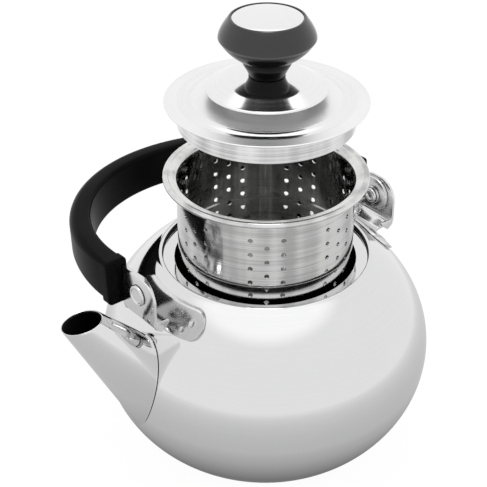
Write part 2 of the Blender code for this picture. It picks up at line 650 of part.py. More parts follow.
def grip_section(share):
    """The rounded section at a share of the way from one end of the arch to the other."""
    if share < GRIP_END_SHARE or share > 1 - GRIP_END_SHARE:
        sign = 1 if share < 0.5 else -1
        height = GRIP_START + GRIP_STRAIGHT * min(share, 1 - share) / GRIP_END_SHARE
        outer = Vector((sign * GRIP_OUTER_HALF_WIDTH, height))
        inner = Vector((sign * GRIP_INNER_HALF_WIDTH, height))
    else:
        angle = math.pi * (share - GRIP_END_SHARE) / (1 - 2 * GRIP_END_SHARE)
        outer = Vector((GRIP_OUTER_HALF_WIDTH * math.cos(angle),
                        GRIP_SPRING + (GRIP_OUTER_RISE - GRIP_SPRING) * math.sin(angle)))
        inner = Vector((GRIP_INNER_HALF_WIDTH * math.cos(angle),
                        GRIP_SPRING + (GRIP_INNER_RISE - GRIP_SPRING) * math.sin(angle)))
        height = (outer.y + inner.y) / 2
    proud = GRIP_BLOCK_PROUD if height < GRIP_START + GRIP_BLOCK_LENGTH else 0.0
    climb = (height - GRIP_START) / (GRIP_OUTER_RISE - GRIP_START)
    breadth = GRIP_BREADTH_END + (GRIP_BREADTH_CROWN - GRIP_BREADTH_END) * climb + 2 * proud
    shift = GRIP_SHIFT_END + (GRIP_SHIFT_CROWN - GRIP_SHIFT_END) * climb
    across = outer - inner
    depth = across.length + proud
    across.normalize()
    low_a, high_a = GRIP_INNER_ROUND, depth - GRIP_OUTER_ROUND
    low_b, high_b = breadth / 2 - GRIP_INNER_ROUND, breadth / 2 - GRIP_OUTER_ROUND
    outline = arc(low_a, -low_b, GRIP_INNER_ROUND, 180, 270, 2)
    outline += arc(high_a, -high_b, GRIP_OUTER_ROUND, 270, 360, 3)
    outline += arc(high_a, high_b, GRIP_OUTER_ROUND, 0, 90, 3)
    outline += arc(low_a, low_b, GRIP_INNER_ROUND, 90, 180, 2)
    points = []
    for out, aside in outline:
        spot = inner + across * out
        points.append(Vector((spot.x, -(shift + aside), PIVOT_Z + spot.y)))
    return points


def make_grip(material, cutter_material, joint):
    sections = [grip_section(i / GRIP_STATIONS) for i in range(GRIP_STATIONS + 1)]
    grip = add_piece("handle_grip", lofted(sections), material, joint)
    for side, label in ((-1, "front"), (1, "rear")):
        slot = [[Vector((side * x, y, PIVOT_Z + z)) for y, z in tang_outline(CLEARANCE)]
                for x in (TANG_OUTER_X + CLEARANCE, TANG_INNER_X - CLEARANCE)]
        cut(grip, add_piece("grip_slot_" + label, lofted(slot), cutter_material, joint))


# --- Infuser basket --------------------------------------------------------------------
def column_angle(index):
    """The middle of a flat of the wall; every column of holes has a flat of its own."""
    flats = HOLE_GROUPS * (HOLE_COLUMNS + HOLE_PLAIN_COLUMNS)
    return math.radians(HOLE_FACING_DEG) + 2 * math.pi * (index - (HOLE_COLUMNS - 1) / 2) / flats


def make_basket(material, cutter_material, joint):
    wall = BASKET_RADIUS - BASKET_SHEET
    bottom = RIM_Z - BASKET_DEPTH
    step_z = RIM_Z - STEP_DEPTH
    low_wall = wall - STEP_IN
    low_outer = BASKET_RADIUS - STEP_IN
    flange_top = RIM_Z + FLANGE_RISE
    flange_low = flange_top - BASKET_SHEET
    neck_z = flange_low - NECK_TURN
    neck_radius = BASKET_RADIUS + NECK_TURN
    profile = [(low_wall - LIP_WIDTH, bottom)]
    profile += bend((low_outer - FOOT_ROUND, bottom), (low_outer, bottom), (low_outer, bottom + FOOT_ROUND), 2)
    profile += [(low_outer, step_z - STEP_HEIGHT), (BASKET_RADIUS, step_z)]
    profile += bend((BASKET_RADIUS, neck_z), (BASKET_RADIUS, flange_low), (neck_radius, flange_low), 2)
    profile += arc(BEAD_CENTRE_RADIUS, RIM_Z, BEAD_RADIUS, -150, 145, 6)
    profile += bend((neck_radius, flange_top), (wall, flange_top), (wall, neck_z), 3)
    profile += [(wall, step_z), (low_wall, step_z - STEP_HEIGHT), (low_wall, bottom + BASKET_SHEET),
                (low_wall - LIP_WIDTH, bottom + BASKET_SHEET)]
    pattern = HOLE_COLUMNS + HOLE_PLAIN_COLUMNS
    corners = [column_angle(i - 0.5) for i in range(HOLE_GROUPS * pattern)]
    basket = add_piece("basket_wall", turned(profile, corners), material, joint)

    holes = bmesh.new()
    for group in range(HOLE_GROUPS):
        for column in range(HOLE_COLUMNS):
            stagger = HOLE_ROW_STEP / 2 if column % 2 else 0.0
            for row in range(HOLE_ROWS):
                z = RIM_Z - HOLE_FIRST_DEPTH - stagger - row * HOLE_ROW_STEP
                place = (Matrix.Rotation(column_angle(group * pattern + column), 4, "Z")
                         @ Matrix.Translation((0, 0, z)) @ Matrix.Rotation(math.radians(90), 4, "Y"))
                prism(HOLE_SIDES, HOLE_RADIUS, low_wall - CUTTER_REACH, BASKET_RADIUS + CUTTER_REACH,
                      place, holes)
    cut(basket, add_piece("basket_hole_cutter", holes, cutter_material, joint))

    floor_z = bottom + BASKET_SHEET + CLEARANCE
    floor_radius = low_wall - CLEARANCE
    disc = [(0.0, floor_z), (floor_radius, floor_z), (floor_radius, floor_z + BASKET_SHEET),
            (0.0, floor_z + BASKET_SHEET)]
    floor = add_piece("basket_bottom", turned(disc, equal_angles(AROUND)), material, joint)
    holes = bmesh.new()
    low, high = floor_z - CUTTER_REACH, floor_z + BASKET_SHEET + CUTTER_REACH
    prism(HOLE_SIDES, HOLE_RADIUS, low, high, None, holes)
    for ring in range(1, FLOOR_RINGS + 1):
        count = 6 * ring
        for i in range(count):
            angle = 2 * math.pi * i / count
            reach = ring * FLOOR_RING_STEP
            place = Matrix.Translation((reach * math.cos(angle), reach * math.sin(angle), 0))
            prism(HOLE_SIDES, HOLE_RADIUS, low, high, place, holes)
    cut(floor, add_piece("bottom_hole_cutter", holes, cutter_material, joint))


# --- Lid and knob ----------------------------------------------------------------------
def make_lid(material, joint):
    hole = SCREW_RADIUS + CLEARANCE
    inside_step = LID_BEAD_RADIUS - LID_BEAD_SLOPE
    outside_step = LID_BEAD_RADIUS + LID_BEAD_SLOPE
    bevel_radius = LID_RADIUS - LID_EDGE_BEVEL
    under = [(hole, LID_CENTRE_Z - LID_SHEET), (inside_step, LID_CENTRE_Z - LID_SHEET),
             (outside_step, LID_Z), (bevel_radius, LID_Z), (LID_RADIUS, LID_Z + LID_EDGE_RISE)]
    top = [(bevel_radius, LID_Z + LID_SHEET), (outside_step, LID_Z + LID_SHEET),
           (inside_step, LID_CENTRE_Z), (hole, LID_CENTRE_Z)]
    add_piece("lid_plate", turned(under + top, equal_angles(AROUND)), material, joint)

    high = LID_Z - CLEARANCE
    low = high - SKIRT_HEIGHT
    inside = SKIRT_RADIUS - SKIRT_SHEET
    skirt = [(inside, low), (SKIRT_RADIUS, low)]
    skirt += bend((SKIRT_RADIUS, high - SKIRT_CORNER), (SKIRT_RADIUS, high), (SKIRT_RADIUS - SKIRT_CORNER, high), 2)
    skirt += [(inside - SKIRT_FLANGE, high), (inside - SKIRT_FLANGE, high - SKIRT_SHEET),
              (inside - SKIRT_FILLET, high - SKIRT_SHEET), (inside, high - SKIRT_SHEET - SKIRT_FILLET)]
    add_piece("lid_skirt", turned(skirt, equal_angles(AROUND)), material, joint)


def make_rosette(material, joint):
    """A dished steel plate: the knob stands in its middle and its rim turns down."""
    path = [(SCREW_RADIUS + CLEARANCE, ROSETTE_Z), (ROSETTE_SEAT_RADIUS, ROSETTE_Z)]
    crest = ROSETTE_Z + ROSETTE_RISE - ROSETTE_SHEET
    inside = ROSETTE_RADIUS - ROSETTE_SHEET
    brow = inside - ROSETTE_BROW
    wall = ROSETTE_SEAT_RADIUS + ROSETTE_WALL_LEAN
    path += bend((wall, ROSETTE_Z + ROSETTE_WALL), (brow - ROSETTE_SLOPE_END, crest), (brow, crest), 3)
    path += bend((brow, crest), (inside, crest), (inside, crest - ROSETTE_BROW_DROP), 3)[1:]
    path.append((inside, crest - ROSETTE_EDGE))
    outline = thicken(path, ROSETTE_SHEET)
    add_piece("knob_rosette", turned(outline, equal_angles(ROSETTE_SIDES)), material, joint)


def make_knob(knob_material, steel_material, insert_material, joint):
    bore = INSERT_RADIUS + CLEARANCE
    bore_top = KNOB_Z + INSERT_LENGTH + CLEARANCE
    foot_side = KNOB_Z + KNOB_FOOT_HEIGHT / 2
    foot_top = KNOB_Z + KNOB_FOOT_HEIGHT
    collar = KNOB_Z + KNOB_COLLAR_Z
    widest = KNOB_Z + KNOB_WIDEST_Z
    top = KNOB_Z + KNOB_HEIGHT
    seat = top - CAP_SHEET - CLEARANCE
    profile = [(0.0, bore_top), (bore, bore_top), (bore, KNOB_Z)]
    profile += bend((KNOB_FOOT_RADIUS - KNOB_FOOT_HEEL, KNOB_Z), (KNOB_FOOT_RADIUS, KNOB_Z),
                    (KNOB_FOOT_RADIUS, foot_side), 3)
    profile += bend((KNOB_FOOT_RADIUS, foot_side), (KNOB_FOOT_RADIUS, foot_top),
                    (KNOB_FOOT_RADIUS - KNOB_FOOT_BROW, foot_top), 3)[1:]
    profile += bend((KNOB_NECK_RADIUS + KNOB_NECK_FILLET, foot_top + KNOB_NECK_START),
                    (KNOB_NECK_RADIUS, KNOB_Z + KNOB_NECK_Z), (KNOB_COLLAR_RADIUS, collar), 3)
    profile += bend((KNOB_COLLAR_RADIUS + KNOB_COLLAR_STEP, collar + KNOB_COLLAR_GROOVE),
                    (KNOB_RADIUS - KNOB_CHEEK_IN, collar + KNOB_CHEEK_RISE), (KNOB_RADIUS, widest), 4)
    profile += bend((KNOB_RADIUS, widest), (KNOB_RADIUS, top - KNOB_TOP_ROUND), (KNOB_TOP_RADIUS, top), 4)[1:]
    profile += [(CAP_RADIUS + CLEARANCE, top), (CAP_RADIUS + CLEARANCE, seat), (0.0, seat)]
    add_piece("knob", turned(profile, equal_angles(KNOB_SIDES)), knob_material, joint)

    cap_low = seat + CLEARANCE
    cap = [(0.0, cap_low), (CAP_RADIUS, cap_low), (CAP_RADIUS, cap_low + CAP_SHEET - CAP_EDGE_BEVEL)]
    for i in range(CAP_RINGS, -1, -1):
        share = CAP_FLAT_SHARE * i / CAP_RINGS
        cap.append((CAP_RADIUS * share, cap_low + CAP_SHEET + CAP_DOME * (1 - share * share)))
    add_piece("knob_cap", turned(cap, equal_angles(KNOB_SIDES)), steel_material, joint)

    thread = SCREW_RADIUS + CLEARANCE
    insert = [(thread, KNOB_Z), (INSERT_RADIUS, KNOB_Z), (INSERT_RADIUS, KNOB_Z + INSERT_LENGTH),
              (thread, KNOB_Z + INSERT_LENGTH)]
    add_piece("knob_insert", turned(insert, equal_angles(AROUND_SMALL)), insert_material, joint)

    washer_top = LID_CENTRE_Z - LID_SHEET - CLEARANCE
    washer_low = washer_top - LID_WASHER_SHEET
    washer = [(thread, washer_low), (LID_WASHER_RADIUS, washer_low), (LID_WASHER_RADIUS, washer_top),
              (thread, washer_top)]
    add_piece("lid_washer", turned(washer, equal_angles(AROUND_SMALL)), steel_material, joint)

    head_top = washer_low - CLEARANCE
    head_low = head_top - SCREW_HEAD_HEIGHT
    socket_top = head_low + SCREW_SOCKET_DEPTH
    tip_z = KNOB_Z + INSERT_LENGTH - SCREW_TIP_GAP
    screw = [(0.0, socket_top), (SCREW_SOCKET_RADIUS, socket_top), (SCREW_SOCKET_RADIUS, head_low),
             (SCREW_HEAD_RADIUS - SCREW_HEAD_BEVEL, head_low),
             (SCREW_HEAD_RADIUS, head_low + SCREW_HEAD_BEVEL), (SCREW_HEAD_RADIUS, head_top),
             (SCREW_RADIUS, head_top), (SCREW_RADIUS, tip_z - SCREW_TIP_HEIGHT), (0.0, tip_z)]
    add_piece("knob_screw", turned(screw, equal_angles(AROUND_SMALL)), steel_material, joint)


def main():
    for stale in list(bpy.data.objects):
        bpy.data.objects.remove(stale)

    mirror_steel = steel("polished_steel", 0.86, 0.06)
    brushed_steel = steel("brushed_steel", 0.72, 0.28)
    bakelite = finish("black_bakelite", (0.012, 0.012, 0.013), 0.32, 0.0)
    gloss_black = finish("gloss_black", (0.01, 0.01, 0.011), 0.08, 0.0)
    brass = finish("brass", (0.72, 0.52, 0.24), 0.3, 1.0)
    guide = finish("cutters", (0.8, 0.2, 0.1), 0.5, 0.0)

    infuser_lift = add_joint("infuser_lift", (0, 0, RIM_Z))
    lid_lift = add_joint("lid_lift", (0, 0, LID_Z))
    handle_pivot = add_joint("handle_pivot", (0, 0, PIVOT_Z))

    make_pot(mirror_steel, guide)
    make_spout(mirror_steel)
    for name, side in (("front", -1), ("rear", 1)):
        make_ear(name + "_bracket", side, mirror_steel, guide)
        make_pin(name, side, mirror_steel, handle_pivot)
        make_tang(name + "_tang", side, brushed_steel, guide, handle_pivot)
    make_grip(bakelite, guide, handle_pivot)
    handle_pivot.rotation_euler = (math.radians(-FOLD_DEG), 0, 0)

    make_basket(brushed_steel, guide, infuser_lift)
    make_lid(mirror_steel, lid_lift)
    make_rosette(mirror_steel, lid_lift)
    make_knob(gloss_black, mirror_steel, brass, lid_lift)


main()
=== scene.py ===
"""Teapot with a lift-out infuser basket: its finished pieces, the stage and the camera.

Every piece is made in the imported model's frame: the origin is the middle of the base, +Z is
up, the spout points along -X and the folded handle lies towards +Y. The basket is drawn half
out and the lid is held above it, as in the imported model.
"""
import math

import bmesh
import bpy
from bpy.props import FloatProperty, FloatVectorProperty, IntProperty, PointerProperty
from mathutils import Matrix, Vector


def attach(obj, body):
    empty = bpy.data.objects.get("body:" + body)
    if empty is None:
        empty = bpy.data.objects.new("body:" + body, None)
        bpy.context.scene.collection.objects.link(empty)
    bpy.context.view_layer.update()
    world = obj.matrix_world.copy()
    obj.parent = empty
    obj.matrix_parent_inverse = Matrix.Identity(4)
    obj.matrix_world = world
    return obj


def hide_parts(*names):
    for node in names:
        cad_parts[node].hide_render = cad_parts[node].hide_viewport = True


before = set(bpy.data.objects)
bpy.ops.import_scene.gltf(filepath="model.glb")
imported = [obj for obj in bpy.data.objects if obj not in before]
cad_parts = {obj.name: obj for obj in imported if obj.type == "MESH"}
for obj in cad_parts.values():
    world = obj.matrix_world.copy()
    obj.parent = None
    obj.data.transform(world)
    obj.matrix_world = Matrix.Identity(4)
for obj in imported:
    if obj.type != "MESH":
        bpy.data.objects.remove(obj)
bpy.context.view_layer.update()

bl_info = {
    "name": "Teapot With Infuser",
    "version": (1, 0, 0),
    "blender": (4, 5, 0),
    "location": "3D View > Sidebar > Teapot",
    "description": "Builds a steel teapot with an infuser basket, a lid and a folding handle",
    "category": "Add Mesh",
}

MM = 0.001
SHARP = 35.0  # degrees past which an edge is kept crisp
WHITE = (1.0, 1.0, 1.0, 1.0)
SOLID_VIEW = (0.5, 0.5, 0.5, 1.0)  # colour of the pieces in the solid view
FACETS = 64  # around a pin, a screw or a washer
SIDES = (("front", -1), ("rear", 1))  # each ear's name and its side along X


# --- Sizes and colours -----------------------------------------------------------------
def length(name, millimetres, description):
    return FloatProperty(name=name, description=description, default=millimetres * MM, unit="LENGTH")


def angle(name, degrees, description):
    return FloatProperty(name=name, description=description, default=math.radians(degrees), unit="ROTATION")


def number(name, default, description):
    return FloatProperty(name=name, description=description, default=default, min=0.0)


def count(name, default, description, least=1):
    return IntProperty(name=name, description=description, default=default, min=least)


def colour(name, default, description):
    return FloatVectorProperty(name=name, description=description, default=default, size=3, min=0, max=1,
                               subtype="COLOR")


class PotSizes(bpy.types.PropertyGroup):
    """The round body and the disc under it."""
    radius: length("Radius", 89.95, "Widest radius of the wall")
    bulge: length("Bulge", 73.9, "Half height of the spheroid that the wall follows")
    widest_z: length("Widest Height", 62.0, "Height of the widest circle above the base")
    wall: length("Wall", 1.0, "Sheet thickness of the body")
    floor_z: length("Floor Height", 4.0, "Underside of the body's flat floor")
    heel: length("Heel", 6.5, "Width of the rounded corner between floor and wall")
    heel_rise: length("Heel Rise", 3.9, "Height of the rounded corner")
    shoulder: length("Shoulder Radius", 57.5, "Where the wall turns into the mouth")
    lip: length("Lip", 0.6, "How far the mouth's edge stands up from the wall")
    lip_round: length("Lip Rounding", 1.2, "Rounding of the mouth's edge")
    recess: length("Recess Radius", 55.1, "Radius of the recess that the basket's rim sits in")
    mouth: length("Mouth Radius", 48.8, "Radius of the opening that the basket hangs in")
    ledge_z: length("Ledge Height", 116.2, "The ledge that carries the basket's rim")
    disc: length("Base Disc", 48.0, "Radius of the disc under the floor")
    disc_edge: length("Base Disc Edge", 1.4, "Rounding of the base disc's edge")
    segments: count("Segments", 224, "Facets around the pot", 12)


class SpoutSizes(bpy.types.PropertyGroup):
    """The straight tapering spout."""
    tip_x: length("Tip Reach", 118.0, "Distance of the tip's middle from the pot's axis")
    tip_z: length("Tip Height", 122.5, "Height of the tip's middle")
    rise: angle("Rise", 52.9, "Angle of the spout above the horizontal")
    tip_radius: length("Tip Radius", 8.4, "Radius of the spout at its tip")
    taper: number("Taper", 0.169, "Growth of the radius for each unit back from the tip")
    oval: number("Oval", 1.12, "Length of the tip for each unit of its width")
    wall: length("Wall", 1.0, "Sheet thickness of the spout")
    cut_lean: angle("Cut Lean", 6.0, "Lean of the cut tip from the horizontal")
    seam: length("Seam", 0.3, "Width of the joint between spout and body")
    sides: count("Sides", 144, "Facets around the spout", 12)
    rings: count("Rings", 48, "Facets along the spout", 2)


class EarSizes(bpy.types.PropertyGroup):
    """The two welded brackets, their rivets and their washers."""
    pivot_z: length("Pivot Height", 124.4, "Height of the handle's pivot")
    face_x: length("Face Reach", 83.0, "Outer face of each ear from the middle")
    sheet: length("Ear Sheet", 1.4, "Sheet thickness of the ears")
    half_width: length("Half Width", 13.8, "Half width of an ear")
    rise: length("Rise", 10.9, "Height of an ear above its pivot")
    corner: length("Corner", 11.0, "Rounding of an ear's top corners")
    knee_z: length("Knee Height", 112.0, "Below it an ear leans in to the pot")
    root_half_width: length("Root Half Width", 10.0, "Half width of an ear at its root")
    saddle_sheet: length("Saddle Sheet", 1.2, "Sheet thickness of the saddles")
    saddle_top: length("Saddle Top", 116.2, "Upper edge of a saddle")
    saddle_low: length("Saddle Foot", 104.5, "Lower edge of a saddle")
    saddle_reach: angle("Saddle Reach", 23.8, "Half the angle that a saddle spans")
    tab_length: length("Tab Length", 7.6, "Length of the stop tabs")
    tab_drop: length("Tab Drop", 17.0, "Depth of a stop tab's foot below the pivot")
    dimple_radius: length("Weld Dimple", 1.55, "Radius of a spot weld's dimple")
    dimple_depth: length("Weld Depth", 0.32, "Depth of a spot weld's dimple")
    head_radius: length("Rivet Head", 5.7, "Radius of a rivet's outer head")
    head_height: length("Rivet Head Height", 1.4, "Height of a rivet's outer head")
    shank: length("Rivet Shank", 2.5, "Radius of a rivet's shank")


class HandleSizes(bpy.types.PropertyGroup):
    """The arched grip and the two steel tangs in its ends."""
    fold: angle("Fold", 94.0, "Angle from upright to folded back")
    start: length("Grip Start", 16.0, "The grip's ends from the pivot")
    straight: length("Straight End", 10.0, "Length of each straight end")
    outer_half_width: length("Outer Half Width", 89.5, "Half width over the grip's sides")
    inner_half_width: length("Inner Half Width", 77.8, "Half width between the grip's sides")
    outer_rise: length("Outer Rise", 116.0, "Outside of the crown from the pivot")
    inner_rise: length("Inner Rise", 103.8, "Inside of the crown from the pivot")
    breadth_end: length("End Breadth", 23.0, "Breadth of the grip at its ends")
    breadth_crown: length("Crown Breadth", 22.0, "Breadth of the grip at its crown")
    shift_end: length("End Shift", 1.2, "How far the ends stand before the pivot plane")
    shift_crown: length("Crown Shift", 5.5, "How far the crown stands before the pivot plane")
    outer_round: length("Outer Rounding", 4.5, "Rounding of the outer edges along the arch")
    end_round: length("End Rounding", 2.2, "Rounding of the outer edges at the ends")
    block_length: length("Block Length", 6.3, "Length of the thicker block at each end")
    block_proud: length("Block Proud", 1.0, "How far an end block stands out all round")
    inner_round: length("Inner Rounding", 2.0, "Rounding of the inner edges")
    tang_sheet: length("Tang Sheet", 1.8, "Thickness of the steel tangs")
    tang_half_width: length("Tang Half Width", 10.0, "Half width of the tangs")
    tang_neck: length("Tang Neck", 7.0, "Half width of the tangs inside the grip")
    tang_shoulder: length("Tang Shoulder", 20.0, "Where a tang is drawn in, from the pivot")
    tang_in_grip: length("Tang In Grip", 20.0, "Length of the tangs inside the grip")
    stations: count("Stations", 140, "Sections around the arch", 8)


class BasketSizes(bpy.types.PropertyGroup):
    """The perforated basket."""
    rim_z: length("Rim Height", 165.0, "Middle of the rolled rim")
    radius: length("Radius", 46.7, "Outside of the basket's wall")
    sheet: length("Sheet", 0.8, "Sheet thickness of the basket")
    depth: length("Depth", 60.0, "Depth below the middle of the rim")
    bead: length("Bead Radius", 1.6, "Radius of the rolled rim's section")
    bead_centre: length("Bead Circle", 52.2, "Radius of the rolled rim's middle")
    step_depth: length("Step Depth", 39.7, "Depth of the small step in the wall")
    step_in: length("Step In", 0.8, "How far the wall steps in")
    lip_width: length("Foot Lip", 4.0, "Width of the lip under the floor")
    hole_radius: length("Hole Radius", 1.3, "Radius of each perforation")
    hole_groups: count("Hole Groups", 7, "Groups of perforations around the wall")
    hole_columns: count("Hole Columns", 3, "Columns of holes in each group")
    bare_columns: count("Bare Columns", 2, "Columns left bare between groups", 0)
    hole_rows: count("Hole Rows", 5, "Holes in each column")
    hole_first: length("First Hole", 12.6, "Depth of the first row below the rim")
    hole_step: length("Row Step", 8.2, "Distance between two rows")
    hole_facing: angle("Hole Facing", 231.0, "Where the middle of one group faces")
    floor_ring_step: length("Floor Rings", 12.0, "Distance between the floor's rings of holes")
    floor_rings: count("Floor Ring Count", 3, "Rings of holes in the floor")


class LidSizes(bpy.types.PropertyGroup):
    """The lid, its skirt and the dished plate under the knob."""
    edge_z: length("Edge Height", 207.4, "Underside of the lid's edge")
    radius: length("Radius", 52.0, "Radius of the lid")
    sheet: length("Sheet", 0.8, "Sheet thickness of the lid")
    step_radius: length("Step Radius", 41.5, "Radius of the raised middle")
    step_rise: length("Step Rise", 1.0, "Height of the raised middle")
    skirt_radius: length("Skirt Radius", 45.4, "Outside of the skirt")
    skirt_height: length("Skirt Height", 11.6, "Height of the skirt")
    skirt_flange: length("Skirt Flange", 4.0, "Width of the flange welded under the lid")
    dish_z: length("Dish Height", 209.5, "Underside of the dished plate")
    dish_radius: length("Dish Radius", 31.0, "Radius of the dished plate")
    dish_sheet: length("Dish Sheet", 0.9, "Sheet thickness of the dished plate")
    dish_rise: length("Dish Rise", 8.6, "Height of the dished plate")
    dish_seat: length("Dish Seat", 18.0, "Radius of the flat seat under the knob")
    dish_wall: length("Dish Wall", 3.6, "Height of the steep wall beside the knob's foot")
    dish_crest: length("Dish Crest", 21.4, "Radius where the dished plate's shoulder turns down")
    dish_top: length("Dish Top", 3.0, "Height of the dished plate's middle above its rise")
    dish_hole: length("Dish Hole", 9.0, "Radius of the hole that the knob's neck passes through")


class KnobSizes(bpy.types.PropertyGroup):
    """The turned knob, its steel cap and what fastens it."""
    base_z: length("Base Height", 210.7, "Underside of the knob")
    foot_radius: length("Foot Radius", 8.2, "Radius of the foot")
    foot_height: length("Foot Height", 3.0, "Height of the foot")
    neck_radius: length("Neck Radius", 6.7, "Radius that the neck is drawn in to")
    neck_z: length("Neck Height", 8.2, "Height of the neck above the base")
    collar_radius: length("Collar Radius", 12.2, "Radius of the collar over the neck")
    collar_z: length("Collar Height", 17.0, "Height of the collar above the base")
    radius: length("Radius", 24.5, "Widest radius of the knob")
    widest_z: length("Widest Height", 30.6, "Height of the widest circle above the base")
    top_radius: length("Top Radius", 18.9, "Radius of the knob's top edge")
    height: length("Height", 41.2, "Height of the knob")
    cap_radius: length("Cap Radius", 17.6, "Radius of the steel cap")
    cap_sheet: length("Cap Sheet", 1.2, "Thickness of the cap at its edge")
    cap_dome: length("Cap Dome", 1.2, "Rise of the cap's middle")
    insert_radius: length("Insert Radius", 4.2, "Radius of the threaded brass insert")
    insert_length: length("Insert Length", 13.0, "Length of the brass insert")
    screw_radius: length("Screw Radius", 2.0, "Radius of the screw")


class Finishes(bpy.types.PropertyGroup):
    """Colours of the surfaces."""
    steel: colour("Polished Steel", (0.745, 0.745, 0.748), "Colour of the mirror-polished steel")
    # Painted light: the lid, the dished plate and the knob's cap are brighter than the pot's steel.
    bright_steel: colour("Lid Steel", (0.87, 0.868, 0.868), "Colour of the lid's bright steel")
    brushed: colour("Brushed Steel", (0.74, 0.74, 0.735), "Colour of the basket's brushed steel")
    # Painted shade: the basket's inner face is darker than its outside.
    inside: colour("Basket Inside", (0.36, 0.36, 0.355), "Colour of the basket's inner face")
    skirt: colour("Skirt Steel", (0.78, 0.78, 0.78), "Colour of the lid's skirt")
    # Painted shade: the dished plate's underside and inner faces take this darker steel.
    shaded: colour("Shaded Steel", (0.62, 0.62, 0.62), "Colour of unpolished steel out of sight")
    bakelite: colour("Handle Black", (0.003, 0.003, 0.0032), "Colour of the moulded grip")
    gloss: colour("Knob Black", (0.0025, 0.0025, 0.0027), "Colour of the glossy knob")
    brass: colour("Brass", (0.72, 0.52, 0.24), "Colour of the threaded insert")


class StageSettings(bpy.types.PropertyGroup):
    """The floor, the light and the camera."""
    floor_radius: length("Floor Radius", 3000.0, "Radius of the pale floor")
    floor_colour: colour("Floor Colour", (0.7, 0.7, 0.7), "Colour of the pale floor")
    far_floor: length("Far Floor", 500.0, "Radius beyond which the floor is as bright as the room")
    room: number("Room Light", 1.0, "Brightness of the room's walls")
    ceiling: number("Ceiling Light", 1.27, "Brightness of the ceiling above the pot")
    ceiling_low: angle("Ceiling Edge", 46.0, "Elevation at which the ceiling starts")
    ceiling_high: angle("Ceiling Middle", 60.0, "Elevation of the ceiling's full brightness")
    lamp: number("Lamp", 7.0, "Brightness of the round overhead lamp")
    lamp_width: length("Lamp Width", 440.0, "Diameter of the overhead lamp")
    lamp_height: length("Lamp Height", 1600.0, "Height of the overhead lamp")
    aim: FloatVectorProperty(name="Aim", description="The point that the camera looks at", size=3,
                             default=(0.0, 18.6 * MM, 113.3 * MM), subtype="TRANSLATION", unit="LENGTH")
    distance: length("Distance", 730.6, "Distance of the camera from its aim")
    azimuth: angle("Azimuth", -128.97, "Direction of the camera around the pot")
    elevation: angle("Elevation", 31.998, "Angle of the camera above the horizontal")
    lens: number("Focal Length", 98.42, "Focal length in millimetres on a 36 mm sensor")


class TeapotSettings(bpy.types.PropertyGroup):
    """All the sizes and colours of the teapot and its stage."""
    pot: PointerProperty(type=PotSizes)
    spout: PointerProperty(type=SpoutSizes)
    ears: PointerProperty(type=EarSizes)
    handle: PointerProperty(type=HandleSizes)
    basket: PointerProperty(type=BasketSizes)
    lid: PointerProperty(type=LidSizes)
    knob: PointerProperty(type=KnobSizes)
    finishes: PointerProperty(type=Finishes)
    stage: PointerProperty(type=StageSettings)


# --- Node trees ------------------------------------------------------------------------
class Signal:
    """A socket of a node tree; a sum written on it adds its Math nodes."""

    def __init__(self, tree, socket=None):
        self.tree = tree
        self.socket = socket

    def node(self, kind, settings=None, values=None, output=0):
        """Adds a node: its settings are set first, then the values or links of its sockets."""
        node = self.tree.nodes.new(kind)
        for name, setting in (settings or {}).items():
            if name == "stops":
                self.set_stops(node.color_ramp, setting)
            else:
                setattr(node, name, setting)
        for key, value in (values or {}).items():
            if isinstance(value, Signal):
                self.tree.links.new(value.socket, node.inputs[key])
            else:
                node.inputs[key].default_value = value
        return Signal(self.tree, node.outputs[output]) if node.outputs else node

    @staticmethod
    def set_stops(ramp, stops):
        """Spreads grey stops over a colour ramp, which starts with two."""
        for place, _ in stops[2:]:
            ramp.elements.new(place)
        for element, (place, grey) in zip(ramp.elements, stops):
            element.position = place
            element.color = (grey, grey, grey, 1.0)

    def maths(self, operation, *values):
        return self.node("ShaderNodeMath", {"operation": operation}, dict(enumerate(values)))

    def __add__(self, other):
        return self.maths("ADD", self, other)

    def __radd__(self, other):
        return self.maths("ADD", other, self)

    def __sub__(self, other):
        return self.maths("SUBTRACT", self, other)

    def __rsub__(self, other):
        return self.maths("SUBTRACT", other, self)

    def __mul__(self, other):
        return self.maths("MULTIPLY", self, other)

    def __rmul__(self, other):
        return self.maths("MULTIPLY", other, self)

    def __truediv__(self, other):
        return self.maths("DIVIDE", self, other)

    def __rtruediv__(self, other):
        return self.maths("DIVIDE", other, self)

    def __mod__(self, other):
        return self.maths("MODULO", self, other)

    def __pow__(self, other):
        return self.maths("POWER", self, other)

    def floor(self):
        return self.maths("FLOOR", self)

    def ramp(self, low, high):
        """0 below low, 1 above high, and a smooth rise between them."""
        return self.node("ShaderNodeMapRange", {"interpolation_type": "SMOOTHSTEP"},
                         {"Value": self, "From Min": low, "From Max": high})

    def mixed(self, colour_a, colour_b):
        """Colour a where this is 0 and colour b where it is 1."""
        sockets = {0: self, 6: (*colour_a, 1.0), 7: (*colour_b, 1.0)}
        return self.node("ShaderNodeMix", {"data_type": "RGBA"}, sockets, 2)

    def on_vector(self, operation, other, key=1):
        """This vector with an operation of Vector Math done on it."""
        return self.node("ShaderNodeVectorMath", {"operation": operation}, {0: self, key: other})

    def split(self):
        """The three coordinates of a place."""
        return [self.node("ShaderNodeSeparateXYZ", None, {0: self}, axis) for axis in range(3)]


def vector(x, y, z):
    start = next(v for v in (x, y, z) if isinstance(v, Signal))
    return start.node("ShaderNodeCombineXYZ", None, {0: x, 1: y, 2: z})


def noise(place, scale, detail):
    """Grey noise around 0.5; a scale of three numbers draws it out along the axes."""
    if isinstance(scale, tuple):
        place, scale = place.on_vector("MULTIPLY", scale), 1.0
    return place.node("ShaderNodeTexNoise", None, {"Vector": place, "Scale": scale, "Detail": detail})


def new_material(name):
    """An empty material and the place on the piece that it colours."""
    material = bpy.data.materials.new(name)
    material.use_nodes = True
    material.node_tree.nodes.clear()
    return material, Signal(material.node_tree).node("ShaderNodeTexCoord", output="Object")


